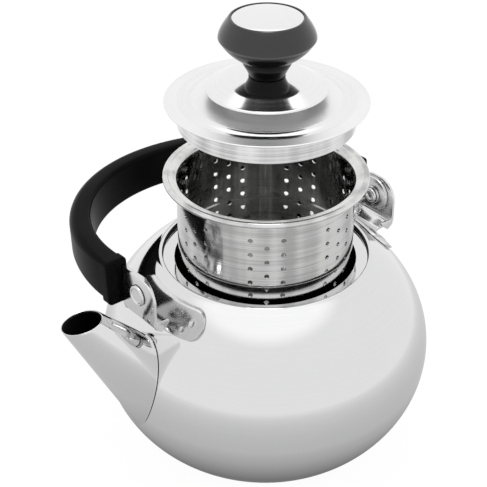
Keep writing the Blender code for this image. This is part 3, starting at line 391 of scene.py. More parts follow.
def finish_material(material, tint, roughness, others, bump=None, height=0.0):
    """Ends a material in a Principled shader, with a bump whose height is in millimetres."""
    values = {"Base Color": tint, "Roughness": roughness, **others}
    if bump:
        values["Normal"] = tint.node("ShaderNodeBump", None,
                                     {"Height": bump, "Distance": height * MM, "Strength": 1.0})
    shader = tint.node("ShaderNodeBsdfPrincipled", None, values)
    tint.node("ShaderNodeOutputMaterial", None, {"Surface": shader})
    material.diffuse_color = SOLID_VIEW
    return material


def made(maker):
    """The material that a maker gives, made the first time that it is asked for and named as the maker."""
    name = maker.__name__
    return bpy.data.materials.get(name) or maker(name, bpy.context.scene.teapot.finishes)


# --- Finishes --------------------------------------------------------------------------
# A noise's scale is its cycles in a metre, and a bump's height is in millimetres.
METAL = {"Metallic": 1.0}


def scaled(tint, share):
    return [c * share for c in tint]


def one_grain(name, colours, scale, detail, roughness, spread, others, height=0.0):
    """A finish whose one noise moves its colour, its roughness and its bump."""
    material, place = new_material(name)
    grain = noise(place, scale, detail)
    shade = grain.ramp(0.3, 0.7).mixed(*colours)
    bump = grain if height else None
    return finish_material(material, shade, roughness + grain * spread, others, bump, height)


def turned_steel(name, tint, roughness, grain, waviness, ring=None):
    """Polished steel whose faint polishing lines run around the Z axis.

    Where a ring is given, as its two radii and a roughness, the steel is rougher outside it.
    """
    material, place = new_material(name)
    x, y, z = place.split()
    radius = (x * x + y * y) ** 0.5
    lines = noise(vector(radius * 900.0, z * 900.0, (x + y) * 7.0), 1.0, 3.0)
    smudges = noise(place, 38.0, 4.0)
    waves = noise(place, 16.0, 1.0)
    shade = (lines * 0.55 + smudges * 0.45).ramp(0.3, 0.75).mixed(scaled(tint, 1.0 - 0.6 * grain), tint)
    if ring:
        inner, outer, satin = ring
        roughness = roughness + satin * (1 - radius.ramp(inner - MM, inner) + radius.ramp(outer, outer + MM))
    roughness = roughness + lines * grain + smudges.ramp(0.45, 0.8) * (0.6 * grain)
    bump = waves * waviness + lines * (0.02 * grain)
    return finish_material(material, shade, roughness, METAL, bump, height=1.0)


def drawn_steel(name, tint):
    """Steel brushed around the Z axis: sharp across the brushing and blurred along the height."""
    material, place = new_material(name)
    lines = noise(place, (11.0, 11.0, 1700.0), 4.0)
    bands = noise(place, (6.0, 6.0, 330.0), 2.0)
    stripes = noise(place, (75.0, 75.0, 6.0), 2.0)
    shade = (lines * 0.3 + bands * 0.2 + stripes * 0.5).ramp(0.38, 0.58).mixed(scaled(tint, 0.6), tint)
    brushing = {**METAL, "Anisotropic": 0.6, "Anisotropic Rotation": 0.25}
    return finish_material(material, shade, 0.06 + lines * 0.1, brushing, lines, height=0.003)


def plate_steel(name, finishes, share=1.0):
    """Bright pressed sheet for ears, tangs and rivets, with fine scratches both ways."""
    material, place = new_material(name)
    drawn = noise(place, (60.0, 700.0, 60.0), 3.0)
    spots = noise(place, 160.0, 3.0)
    tint = scaled(finishes.steel, share)
    shade = (drawn * 0.6 + spots * 0.4).ramp(0.3, 0.7).mixed(scaled(tint, 0.93), tint)
    return finish_material(material, shade, 0.1 + drawn * 0.08 + spots * 0.04, METAL, drawn, height=0.0008)


def saddle_steel(name, finishes):
    """The face of the strip under the ear, painted darker than the plate: painted shade."""
    return plate_steel(name, finishes, share=0.68)


def polished_steel(name, finishes):
    return turned_steel(name, finishes.steel, roughness=0.025, grain=0.045, waviness=0.05)


def lid_steel(name, finishes):
    """Satin steel with a polished ring at the lid's step, painted brighter than the pot's steel: painted
    light.
    """
    ring = (38.6 * MM, 44.3 * MM, 0.3)
    return turned_steel(name, finishes.bright_steel, roughness=0.05, grain=0.08, waviness=0.01, ring=ring)


# The dished plate and the knob's cap share the lid's brighter steel: painted light.
def dish_steel(name, finishes):
    return turned_steel(name, finishes.bright_steel, roughness=0.06, grain=0.06, waviness=0.02)


# Darker steel for the dished plate's underside and inner faces: painted shade.
def shaded_steel(name, finishes):
    return turned_steel(name, finishes.shaded, roughness=0.3, grain=0.1, waviness=0.0)


def skirt_steel(name, finishes):
    return drawn_steel(name, finishes.skirt)


def basket_outside(name, finishes):
    return drawn_steel(name, finishes.brushed)


# The basket's inner face in darker drawn steel: painted shade.
def basket_inside(name, finishes):
    return drawn_steel(name, finishes.inside)


def dull_steel(name, _):
    """Unpolished steel for the inside of the spout and the pot and the recess in its mouth, painted nearly
    black: painted shade.
    """
    colours = ((0.012, 0.012, 0.012), (0.03, 0.029, 0.028))
    return one_grain(name, colours, scale=45.0, detail=4.0, roughness=0.55, spread=0.2, others=METAL)


def turned_brass(name, finishes):
    colours = (scaled(finishes.brass, 0.8), finishes.brass)
    return one_grain(name, colours, scale=(60.0, 60.0, 2200.0), detail=2.0, roughness=0.22, spread=0.2,
                     others=METAL, height=0.02)


def satin_black(name, finishes):
    """The knob's neck and cheek, with a weak reflection that darkens them under the widest part: painted
    shade.
    """
    colours = (scaled(finishes.gloss, 0.7), scaled(finishes.gloss, 1.5))
    return one_grain(name, colours, scale=260.0, detail=3.0, roughness=0.16, spread=0.08,
                     others={"Specular IOR Level": 0.15}, height=0.005)


def knob_black(name, finishes):
    """Glossy turned plastic with faint rubbing marks."""
    material, place = new_material(name)
    rubs = noise(place, (90.0, 90.0, 320.0), 3.0)
    shade = rubs.ramp(0.35, 0.7).mixed(scaled(finishes.gloss, 0.8), scaled(finishes.gloss, 1.5))
    roughness = 0.045 + rubs.ramp(0.4, 0.8) * 0.07
    return finish_material(material, shade, roughness, {"Specular IOR Level": 0.75}, rubs, height=0.01)


def moulded_black(name, finishes):
    """Satin moulded plastic with a fine even grain."""
    material, place = new_material(name)
    speckle = noise(place, 900.0, 3.0)
    cloud = noise(place, 30.0, 3.0)
    shade = cloud.ramp(0.3, 0.7).mixed(scaled(finishes.bakelite, 0.7), scaled(finishes.bakelite, 1.4))
    roughness = 0.2 + speckle * 0.1 + cloud * 0.08
    return finish_material(material, shade, roughness, {"Specular IOR Level": 0.03}, speckle, height=0.02)


def pale_floor(name, _):
    """Pale and matt; in mirrors it shows a painted shadow that darkens close to the pot, and is as white as
    the room far from it.
    """
    stage = bpy.context.scene.teapot.stage
    material, place = new_material(name)
    x, y, _ = place.split()
    # Shares of the far radius and the grey of the painted shadow that mirrors show there.
    stops = [(0.13, 0.2), (0.19, 0.47), (0.24, 0.61), (0.4, 0.7), (0.6, 0.8), (0.95, 1.0)]
    grey = place.node("ShaderNodeValToRGB", {"stops": stops}, {0: (x * x + y * y) ** 0.5 / stage.far_floor})
    matt = place.node("ShaderNodeBsdfDiffuse", None, {"Color": (*stage.floor_colour, 1.0)})
    white = place.node("ShaderNodeEmission", None, {"Color": WHITE, "Strength": 1.03})
    # Mirrors see this emission: the painted shadow around the pot.
    shaded = place.node("ShaderNodeEmission", None, {"Color": grey, "Strength": 1.0})
    in_view, glossy, passed = (place.node("ShaderNodeLightPath", output=f"Is {kind} Ray")
                               for kind in ("Camera", "Glossy", "Transmission"))
    mirrored = glossy + passed
    # A little of the matt floor stays in view, so that the object's shadow shows.
    seen = place.node("ShaderNodeMixShader", None, {0: in_view * 0.93, 1: matt, 2: white})
    mirrored = mirrored.maths("MINIMUM", mirrored, 1.0)
    mixed = place.node("ShaderNodeMixShader", None, {0: mirrored, 1: seen, 2: shaded})
    place.node("ShaderNodeOutputMaterial", None, {"Surface": mixed})
    return material


# --- Mesh tools ------------------------------------------------------------------------
def add_mesh(name, bm, *makers, sharp=SHARP):
    """Turns a bmesh into an object at the origin, smooth but for its sharp edges."""
    bmesh.ops.remove_doubles(bm, verts=bm.verts, dist=1e-7)
    bmesh.ops.recalc_face_normals(bm, faces=bm.faces)
    mesh = bpy.data.meshes.new(name)
    bm.to_mesh(mesh)
    bm.free()
    for maker in makers:
        mesh.materials.append(made(maker))
    piece = bpy.data.objects.new(name, mesh)
    bpy.context.collection.objects.link(piece)
    smooth(mesh, sharp)
    return piece


def smooth(mesh, sharp):
    mesh.shade_smooth()
    mesh.set_sharp_from_angle(angle=math.radians(sharp))


def settled(piece, sharp=SHARP):
    """Applies the piece's modifiers: the evaluated shape becomes its own plain mesh."""
    evaluated = piece.evaluated_get(bpy.context.evaluated_depsgraph_get())
    mesh = bpy.data.meshes.new_from_object(evaluated)
    mesh.name = piece.name
    piece.modifiers.clear()
    stale = piece.data
    piece.data = mesh
    bpy.data.meshes.remove(stale)
    smooth(mesh, sharp)
    return piece


def joined_solids(piece, others, operation):
    """Joins or cuts closed shapes into the piece, then drops them."""
    for other in others:
        modifier = piece.modifiers.new("shape", "BOOLEAN")
        modifier.operation = operation
        modifier.solver = "EXACT"
        modifier.object = other
    settled(piece)
    for other in others:
        mesh = other.data
        bpy.data.objects.remove(other)
        bpy.data.meshes.remove(mesh)


def softened(piece, width):
    """Rounds the piece's sharp edges."""
    modifier = piece.modifiers.new("edges", "BEVEL")
    modifier.width = width
    modifier.segments = 3
    modifier.limit_method = "ANGLE"
    modifier.angle_limit = math.radians(SHARP)
    modifier.harden_normals = False
    return settled(piece, 50.0)


def paint_faces(piece, index, chosen):
    """Gives a material slot to the faces that a test of their middle and normal chooses."""
    for polygon in piece.data.polygons:
        if chosen(polygon.center, polygon.normal):
            polygon.material_index = index


def inward(middle, normal):
    """Whether a face of a piece turned about Z looks at the axis."""
    return middle.x * normal.x + middle.y * normal.y < -0.5 * math.hypot(middle.x, middle.y)


def placed(piece, body, node):
    """Hands a finished piece to the frame: its body and the node that it stands for."""
    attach(piece, body)
    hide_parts(node)


class Outline(list):
    """The (radius, height) points of a profile; each method adds some and gives the outline back."""

    def to(self, *points):
        """Single points."""
        self += points
        return self

    def bend(self, corner, end, steps):
        """A smooth corner from the last point to the end, drawn towards the corner point."""
        start = self[-1]
        for i in range(1, steps + 1):
            t = i / steps
            a, b, c = (1 - t) ** 2, 2 * t * (1 - t), t ** 2
            self.append(tuple(a * p + b * q + c * r for p, q, r in zip(start, corner, end)))
        return self

    def run(self, end, step):
        """A straight run from the last point to the end, cut into equal steps."""
        start = self[-1]
        parts = max(1, math.ceil((Vector(end) - Vector(start)).length / step))
        for i in range(1, parts + 1):
            self.append([p + (q - p) * i / parts for p, q in zip(start, end)])
        return self

    def arc(self, r, z, radius, start, end, steps):
        """An arc about a point, between two angles in degrees."""
        turns = [math.radians(start + (end - start) * i / steps) for i in range(steps + 1)]
        return self.to(*[(r + radius * math.cos(a), z + radius * math.sin(a)) for a in turns])


def eased(share):
    """0 below 0 and 1 above 1, with a smooth rise between them."""
    share = min(max(share, 0.0), 1.0)
    return share * share * (3 - 2 * share)


def thicken(path, sheet):
    """Closes an open path into the outline of a sheet, laid on the path's left side."""
    inner = []
    for i, (r, z) in enumerate(path):
        before = Vector(path[max(i - 1, 0)])
        after = Vector(path[min(i + 1, len(path) - 1)])
        here = Vector((r, z))
        first = (here - before).normalized() if i else (after - here).normalized()
        second = (after - here).normalized() if i < len(path) - 1 else first
        normal = Vector((-first.y - second.y, first.x + second.x)).normalized()
        reach = sheet / max(normal.dot(Vector((-first.y, first.x))), 0.5)
        offset = here + normal * reach
        inner.append((0.0 if r == 0 else offset.x, offset.y))
    return list(path) + inner[::-1]


def turned(profile, segments):
    """A bmesh turned about Z from a closed profile of (radius, height) points."""
    bm = bmesh.new()
    angles = [2 * math.pi * i / segments for i in range(segments)]
    rings = [[bm.verts.new((r * math.cos(a), r * math.sin(a), z)) for a in angles] if r
             else [bm.verts.new((0, 0, z))] * segments for r, z in profile]
    for ring, following in zip(rings, rings[1:] + rings[:1]):
        for i in range(segments):
            j = (i + 1) % segments
            corners = dict.fromkeys((ring[i], ring[j], following[j], following[i]))
            if len(corners) > 2:
                bm.faces.new(corners)
    return bm


def lofted(sections):
    """A bmesh through equal closed sections, with flat ends."""
    bm = bmesh.new()
    rings = [[bm.verts.new(point) for point in section] for section in sections]
    for ring, following in zip(rings, rings[1:]):
        for i in range(len(ring)):
            j = (i + 1) % len(ring)
            bm.faces.new((ring[i], ring[j], following[j], following[i]))
    bm.faces.new(rings[0])
    bm.faces.new(rings[-1])
    return bm


def on_x_axis(bm, height):
    """Lays a piece turned about Z on the pivot line along X, its +Z end towards +X."""
    turn = Matrix.Rotation(math.radians(90), 4, "Y")
    bmesh.ops.transform(bm, matrix=Matrix.Translation((0, 0, height)) @ turn, verts=bm.verts)
    return bm


def turned_to_side(piece, side):
    """Turns a piece made on the +X side round to its own side."""
    if side < 0:
        piece.data.transform(Matrix.Rotation(math.pi, 4, "Z"))
    return piece


# --- Pot -------------------------------------------------------------------------------
def pot_radius_at(pot, z, proud=0.0):
    rise = (z - pot.widest_z) / (pot.bulge + proud)
    return (pot.radius + proud) * math.sqrt(max(1 - rise * rise, 0.0))


def shell_profile(pot):
    """The body's wall: flat floor, rounded heel, spheroid, mouth's edge, recess and ledge."""
    heel_radius = pot_radius_at(pot, pot.floor_z)
    heel_top = pot.floor_z + pot.heel_rise
    share = pot.shoulder / pot.radius
    shoulder_z = pot.widest_z + pot.bulge * math.sqrt(1 - share * share)
    crest_z = shoulder_z + pot.lip
    low, high = (math.asin((z - pot.widest_z) / pot.bulge) for z in (heel_top, shoulder_z))
    steps = 96
    turns = [low + (high - low) * i / steps for i in range(1, steps + 1)]
    path = (Outline([(0.0, pot.floor_z)])
            .run((heel_radius - pot.heel, pot.floor_z), 8 * MM)
            .bend((heel_radius, pot.floor_z), (pot_radius_at(pot, heel_top), heel_top), 10)
            .to(*[(pot.radius * math.cos(a), pot.widest_z + pot.bulge * math.sin(a)) for a in turns])
            .to((pot.shoulder - 0.25 * MM, shoulder_z + 0.25 * MM))
            .bend((pot.shoulder - 0.6 * MM, crest_z), (pot.recess + pot.lip_round, crest_z), 4)
            .bend((pot.recess, crest_z), (pot.recess, crest_z - pot.lip_round), 8)
            .to((pot.recess, pot.ledge_z + 0.5 * MM))
            .bend((pot.recess, pot.ledge_z), (pot.recess - 0.5 * MM, pot.ledge_z), 4)
            .to((pot.mouth + 0.3 * MM, pot.ledge_z), (pot.mouth, pot.ledge_z - 0.1 * MM)))
    return thicken(path, pot.wall)


class TEAPOT_OT_body(bpy.types.Operator):
    """Make the polished body and the disc under it"""
    bl_idname = "teapot.body"
    bl_label = "Body"

    def execute(self, context):
        settings = context.scene.teapot
        pot = settings.pot
        shell = add_mesh("pot_body", turned(shell_profile(pot), pot.segments), polished_steel, dull_steel,
                         sharp=30.0)
        hole = add_mesh("hole", lofted(spout_hole(settings, 96)), polished_steel)
        joined_solids(shell, [hole], "DIFFERENCE")

        def unpolished(middle, normal):
            """The inside of the pot, and the upright face of the recess in its mouth, which are painted
            dark: painted shade.
            """
            away = math.hypot(middle.x, middle.y)
            if middle.z > pot.ledge_z:
                return inward(middle, normal) and abs(away - pot.recess) < 0.3 * MM
            inside = pot.floor_z + pot.wall / 2 < middle.z < pot.ledge_z - 0.1 * MM
            return inside and away < pot_radius_at(pot, middle.z, -pot.wall / 2)

        paint_faces(shell, 1, unpolished)
        placed(shell, "pot", "body_shell")

        top, round_top = pot.floor_z - settings.spout.seam, 0.8 * MM
        disc = (Outline([(0.0, 0.0)]).arc(pot.disc - pot.disc_edge, pot.disc_edge, pot.disc_edge, -90, 0, 8)
                .arc(pot.disc - round_top, top - round_top, round_top, 0, 90, 6).to((0.0, top)))
        base = add_mesh("base_plate", turned(disc, pot.segments), polished_steel)
        placed(base, "pot", "base_disc")
        return {"FINISHED"}


# --- Spout -----------------------------------------------------------------------------
def spout_frame(spout):
    """The tip's middle, the direction towards the tip, and the two cross directions."""
    tip = Vector((-spout.tip_x, 0, spout.tip_z))
    along = Vector((-math.cos(spout.rise), 0, math.sin(spout.rise)))
    side = Vector((0, 1, 0))
    return tip, along, side, side.cross(along)


def spout_ray(spout, i, sides, inset):
    """The i-th straight line down the cone: its start level with the tip, and its step back."""
    tip, along, side, over = spout_frame(spout)
    turn = 2 * math.pi * i / sides
    spread = side * math.cos(turn) + over * (spout.oval * math.sin(turn))
    spread_back = side * math.cos(turn) + over * math.sin(turn)
    return tip + spread * (spout.tip_radius - inset), spread_back * spout.taper - along


def meet_pot(pot, start, step, proud):
    """How many steps down a line meets the spheroid that stands proud of the pot."""
    scale = Vector((1 / (pot.radius + proud), 1 / (pot.radius + proud), 1 / (pot.bulge + proud)))
    p = (start - Vector((0, 0, pot.widest_z))) * scale
    d = step * scale
    a, b, c = d.dot(d), 2 * p.dot(d), p.dot(p) - 1
    return (-b - math.sqrt(max(b * b - 4 * a * c, 0.0))) / (2 * a)


def meet_cut(spout, start, step):
    """How many steps down a line meets the plane that the tip is cut to."""
    tip = spout_frame(spout)[0]
    normal = Vector((-math.sin(spout.cut_lean), 0, math.cos(spout.cut_lean)))
    return (tip - start).dot(normal) / step.dot(normal)


def spout_hole(settings, sides):
    """The length of the spout's bore that passes through the pot's wall."""
    reach = 12 * MM
    rays = [spout_ray(settings.spout, i, sides, settings.spout.wall) for i in range(sides)]
    return [[start + step * (meet_pot(settings.pot, start, step, 0.0) + past_wall) for start, step in rays]
            for past_wall in (-reach, reach)]


class TEAPOT_OT_spout(bpy.types.Operator):
    """Make the spout, cut to the curve of the pot at its root"""
    bl_idname = "teapot.spout"
    bl_label = "Spout"

    def execute(self, context):
        settings = context.scene.teapot
        spout = settings.spout
        along = spout_frame(spout)[1]
        walls = []
        for inset in (0.0, spout.wall):
            wall = []
            for i in range(spout.sides):
                start, step = spout_ray(spout, i, spout.sides, inset)
                top = meet_cut(spout, start, step)
                root = meet_pot(settings.pot, start, step, spout.seam)
                wall.append([start + step * (top + (root - top) * k / spout.rings)
                             for k in range(spout.rings + 1)])
            walls.append(wall)
        bm = bmesh.new()
        loops = []
        for outer, inner in zip(*walls):
            # The rim is rounded over between the outer and the inner edge of the cut.
            rim = [outer[0].lerp(inner[0], 0.4 * t) - along * (0.15 * MM * (2 * t - 1) ** 2)
                   for t in (0.0, 0.15, 0.5, 0.85, 1.0)]
            root = [outer[-1].lerp(inner[-1], 0.4), outer[-1].lerp(inner[-1], 0.1) + along * 0.1 * MM,
                    outer[-1] + along * 0.4 * MM]
            loops.append([bm.verts.new(p) for p in root + outer[-2:0:-1] + rim + inner[1:]])
        corners = len(loops[0])
        # From this corner of a loop on, the faces lie on the inner wall, which is painted dark: painted
        # shade.
        inside = spout.rings + 6
        for loop, following in zip(loops, loops[1:] + loops[:1]):
            for k in range(corners):
                m = (k + 1) % corners
                face = bm.faces.new((loop[k], following[k], following[m], loop[m]))
                face.material_index = 1 if k >= inside else 0
        placed(add_mesh("pot_spout", bm, polished_steel, dull_steel), "pot", "spout")
        return {"FINISHED"}


# --- Ears, rivets and washers ----------------------------------------------------------
def saddle_mesh(pot, ears, seam):
    """The curved strip with round ends on the pot's shoulder, with its weld dimples."""
    middle_z = (ears.saddle_top + ears.saddle_low) / 2
    half_height = (ears.saddle_top - ears.saddle_low) / 2
    reach = ears.saddle_reach
    end = half_height * 1.25 / pot_radius_at(pot, middle_z)
    stations, rows = 128, 20
    # Each weld's turn from the middle of the saddle, and its height.
    welds = [(sign * turn, z) for sign in (-1, 1) for turn, z in ((0.315, 110.9 * MM), (0.261, 107.9 * MM))]

    def dimpled(turn, z, lift):
        """The outer face's height above the pot: a dip and a low ridge around it at each weld."""
        for weld_turn, weld_z in welds:
            away = math.hypot((turn - weld_turn) * pot_radius_at(pot, weld_z), (z - weld_z) * 1.5)
            away /= ears.dimple_radius
            lift -= ears.dimple_depth * math.cos(min(away, 1.0) * math.pi / 2) ** 2 * 1.6
            lift += ears.dimple_depth * 0.6 * math.exp(-((away - 1.05) / 0.3) ** 2)
        return lift

    bm = bmesh.new()
    layers = []
    for outer, proud in ((False, seam), (True, seam + ears.saddle_sheet)):
        grid = []
        for i in range(stations + 1):
            turn = -math.cos(math.pi * i / stations) * reach
            past = max(abs(turn) - (reach - end), 0.0) / end
            high = half_height * max(math.sqrt(max(1 - past * past, 0.0)), 0.06)
            column = []
            for k in range(rows + 1):
                z = middle_z + high * (2 * k / rows - 1)
                radius = pot_radius_at(pot, z, dimpled(turn, z, proud) if outer else proud)
                column.append(bm.verts.new((radius * math.cos(turn), radius * math.sin(turn), z)))
            grid.append(column)
        layers.append(grid)
    low, high = layers
    for i in range(stations):
        for k in range(rows):
            bm.faces.new((high[i][k], high[i + 1][k], high[i + 1][k + 1], high[i][k + 1]))
            bm.faces.new((low[i][k], low[i][k + 1], low[i + 1][k + 1], low[i + 1][k]))
        for k in (0, rows):
            bm.faces.new((low[i][k], low[i + 1][k], high[i + 1][k], high[i][k]))
    for i in (0, stations):
        for k in range(rows):
            bm.faces.new((low[i][k], low[i][k + 1], high[i][k + 1], high[i][k]))
    return bm


def ear_mesh(pot, ears, seam):
    """The upright plate: its root leans out from the saddle and its top corners are round."""
    root_z = ears.saddle_low + 1.2 * MM
    root_x = pot_radius_at(pot, root_z, seam + 0.2 * ears.saddle_sheet)
    top_z = ears.pivot_z + ears.rise
    rows = [(root_x, root_z, ears.root_half_width)]
    steps = 14
    knee = Outline([(root_x + 2.0 * MM, root_z + 1.2 * MM)]).bend((ears.face_x, root_z + 3.4 * MM),
                                                                  (ears.face_x, ears.knee_z), steps)
    for i, (x, z) in enumerate(knee):
        rows.append((x, z, ears.root_half_width + (ears.half_width - ears.root_half_width) * i / steps))
    corner = Outline().arc(ears.half_width - ears.corner, top_z - ears.corner, ears.corner, 0, 90, 14)
    rows += [(ears.face_x, z, half_width) for half_width, z in corner]
    back = thicken([(x, z) for x, z, _ in rows], ears.sheet)[:len(rows) - 1:-1]
    return lofted([[(x, -width, z), (x, width, z), (back_x, width, back_z), (back_x, -width, back_z)]
                   for (x, z, width), (back_x, back_z) in zip(rows, back)])


def tab_mesh(ears, handle, seam, edge):
    """A tab bent in from the ear's edge, on which the folded tang comes to rest."""
    near_x = ears.face_x - 0.4 * MM
    far_x = ears.face_x - ears.sheet - ears.tab_length
    foot_z = ears.pivot_z - ears.tab_drop
    fold = handle.fold - math.pi / 2
    rest_z = (ears.pivot_z - handle.tang_half_width / math.cos(fold) - ears.half_width * math.tan(fold)
              - seam)
    outline = ((near_x, ears.knee_z - 2.0 * MM), (near_x, rest_z), (far_x, rest_z),
               (far_x, foot_z + 4.0 * MM), (far_x + 5.0 * MM, foot_z))
    return lofted([[(x, edge * half_width, z) for x, z in outline]
                   for half_width in (ears.half_width - ears.sheet, ears.half_width)])


def cut_bore(piece, ears, clearance, inner_x, outer_x):
    """Drills the pin's hole through a piece on the +X side."""
    radius = ears.shank + clearance
    profile = [(0.0, inner_x), (radius, inner_x), (radius, outer_x), (0.0, outer_x)]
    bore = add_mesh("bore", on_x_axis(turned(profile, FACETS), ears.pivot_z), plate_steel)
    joined_solids(piece, [bore], "DIFFERENCE")


class TEAPOT_OT_ears(bpy.types.Operator):
    """Make the two brackets that carry the handle, each a saddle, an ear and two stop tabs"""
    bl_idname = "teapot.ears"
    bl_label = "Ears"

    def execute(self, context):
        settings = context.scene.teapot
        pot, ears, seam = settings.pot, settings.ears, settings.spout.seam

        def part(name, bm, width):
            return softened(add_mesh(name, bm, plate_steel, saddle_steel), width)

        def tarnished(middle, normal):
            """The strip's upper face, close to the pot's shoulder, which is painted darker: painted shade.
            """
            near_pot = math.hypot(middle.x, middle.y) < pot_radius_at(pot, middle.z, 2.2 * MM)
            return near_pot and normal.z > 0.45 and abs(normal.y) < 0.6 and middle.z < ears.pivot_z - 9 * MM

        for name, side in SIDES:
            bracket = part(name + "_ear_bracket", saddle_mesh(pot, ears, seam), 0.3 * MM)
            plate = part("plate", ear_mesh(pot, ears, seam), 0.35 * MM)
            tabs = [part("tab", tab_mesh(ears, settings.handle, seam, edge), 0.3 * MM) for edge in (-1, 1)]
            joined_solids(bracket, [plate, *tabs], "UNION")
            cut_bore(bracket, ears, seam, ears.face_x - 6 * MM, ears.face_x + 6 * MM)
            paint_faces(bracket, 1, tarnished)
            placed(turned_to_side(bracket, side), "pot", name + "_bracket")
        return {"FINISHED"}


class TEAPOT_OT_pivots(bpy.types.Operator):
    """Make the two tubular rivets of the handle and their washers"""
    bl_idname = "teapot.pivots"
    bl_label = "Rivets and Washers"

    def execute(self, context):
        settings = context.scene.teapot
        ears, seam = settings.ears, settings.spout.seam
        washer_outer = ears.face_x - ears.sheet - 2 * seam - settings.handle.tang_sheet
        washer_inner = washer_outer - 1.2 * MM
        flare_outer = washer_inner - seam
        tail = flare_outer - 1.3 * MM
        head_low = ears.face_x + seam
        head_top = head_low + ears.head_height
        eyelet, flare, head, rim = 1.5 * MM, 4.2 * MM, ears.head_radius, ears.head_radius - 1.1 * MM
        rivet = (Outline([(0.0, tail + 3.0 * MM), (eyelet, tail + 3.0 * MM), (eyelet, tail + 0.9 * MM)])
                 .bend((eyelet + 0.2 * MM, tail), (eyelet + 1.2 * MM, tail), 6)
                 .bend((flare, tail), (flare, tail + 0.9 * MM), 6)
                 .to((flare, flare_outer), (ears.shank, flare_outer), (ears.shank, head_low),
                     (head - 0.2 * MM, head_low), (head, head_low + 0.2 * MM), (head, head_top - 0.75 * MM))
                 .bend((head, head_top), (rim, head_top), 8)
                 .bend((rim - 0.5 * MM, head_top), (rim - 0.7 * MM, head_top - 0.35 * MM), 5)
                 .bend((rim - 0.9 * MM, head_top - 0.5 * MM), (rim - 1.4 * MM, head_top - 0.5 * MM), 5)
                 .to((0.0, head_top - 0.4 * MM)))
        hole, edge, corner = ears.shank + seam, 5.2 * MM, 0.2 * MM
        washer = [(hole, washer_inner), (edge - corner, washer_inner), (edge, washer_inner + corner),
                  (edge, washer_outer - corner), (edge - corner, washer_outer), (hole, washer_outer)]
        for name, side in SIDES:
            for kind, profile, body in (("_rivet", rivet, "pot"), ("_washer", washer, "handle")):
                piece = add_mesh(name + kind, on_x_axis(turned(profile, FACETS), ears.pivot_z), plate_steel)
                placed(turned_to_side(piece, side), body, name + "_pivot" + kind)
        return {"FINISHED"}


# --- Handle ----------------------------------------------------------------------------
def folded(ears, handle):
    """The turn from the upright handle to the folded one."""
    pivot = Matrix.Translation((0, 0, ears.pivot_z))
    return pivot @ Matrix.Rotation(-handle.fold, 4, "X") @ pivot.inverted()


def tang_mesh(ears, handle, faces, side=1, extra=0.0):
    """A flat tang: a half-round foot about the pivot, drawn in to a neck inside the grip."""
    width, neck = handle.tang_half_width + extra, handle.tang_neck + extra
    shoulder = handle.tang_shoulder + extra
    top = handle.start + handle.tang_in_grip + extra
    outline = (Outline([(neck, top), (-neck, top), (-neck, shoulder), (-width, shoulder)])
               .arc(0.0, 0.0, width, 180, 360, 40).to((width, shoulder), (neck, shoulder)))
    return lofted([[(side * x, y, ears.pivot_z + z) for y, z in outline] for x in faces])


def grip_section(ears, handle, rise=None, turn=None):
    """The rounded section at a rise up a straight end, or at a turn around the arch."""
    spring = handle.start + handle.straight
    sizes = ((handle.outer_half_width, handle.outer_rise), (handle.inner_half_width, handle.inner_rise))
    if turn is None:
        sign, rise = math.copysign(1, rise), abs(rise)
        outer, inner = (Vector((sign * half_width, handle.start + rise)) for half_width, _ in sizes)
    else:
        outer, inner = (Vector((half_width * math.cos(turn), spring + (crown - spring) * math.sin(turn)))
                        for half_width, crown in sizes)
        rise = (outer.y + inner.y) / 2 - handle.start
    # The block at the end stands proud, its step is eased and its end face has rounded edges.
    proud = handle.block_proud * eased((handle.block_length + 0.35 * MM - rise) / (0.7 * MM))
    edge = 1.2 * MM
    inset = edge - math.sqrt(edge ** 2 - max(edge - rise, 0.0) ** 2)
    climb = rise / (handle.outer_rise - handle.start)
    breadth = handle.breadth_end + (handle.breadth_crown - handle.breadth_end) * climb + 2 * (proud - inset)
    shift = handle.shift_end + (handle.shift_crown - handle.shift_end) * climb
    soft = eased(climb / 0.45)
    inner_round = handle.inner_round
    outer_round = handle.end_round + (handle.outer_round - handle.end_round) * soft
    across = outer - inner
    depth = across.length + proud - inset
    across.normalize()
    low_a, high_a = 0.5 * inset + inner_round, depth - outer_round
    low_b, high_b = breadth / 2 - inner_round, breadth / 2 - outer_round
    outline = (Outline().arc(low_a, -low_b, inner_round, 180, 270, 6)
               .arc(high_a, -high_b, outer_round, 270, 360, 10)
               .arc(high_a, high_b, outer_round, 0, 90, 10)
               .arc(low_a, low_b, inner_round, 90, 180, 6))
    # The broad faces are slightly crowned.
    crown = 0.5 * MM * soft
    points = []
    for out, aside in outline:
        lift = crown * (1 - (2 * out / depth - 1) ** 2)
        spot = inner + across * out
        aside = aside + math.copysign(lift, aside) if abs(aside) > low_b else aside
        points.append((spot.x, -(shift + aside), ears.pivot_z + spot.y))
    return points


def grip_sections(ears, handle):
    """All the sections, set closer together at the end blocks."""
    # Heights above the end face, in millimetres.
    ends = [0.001, 0.05, 0.12, 0.25, 0.4, 0.6, 0.85, 1.2, 2.5, 4.2]
    ends += [handle.block_length / MM + step for step in (-0.5, -0.3, -0.15, 0.0, 0.15, 0.3, 0.5, 1.2)]
    first = [grip_section(ears, handle, rise=rise * MM) for rise in ends]
    last = [grip_section(ears, handle, rise=-rise * MM) for rise in reversed(ends)]
    steps = handle.stations
    return first + [grip_section(ears, handle, turn=math.pi * i / steps) for i in range(steps + 1)] + last


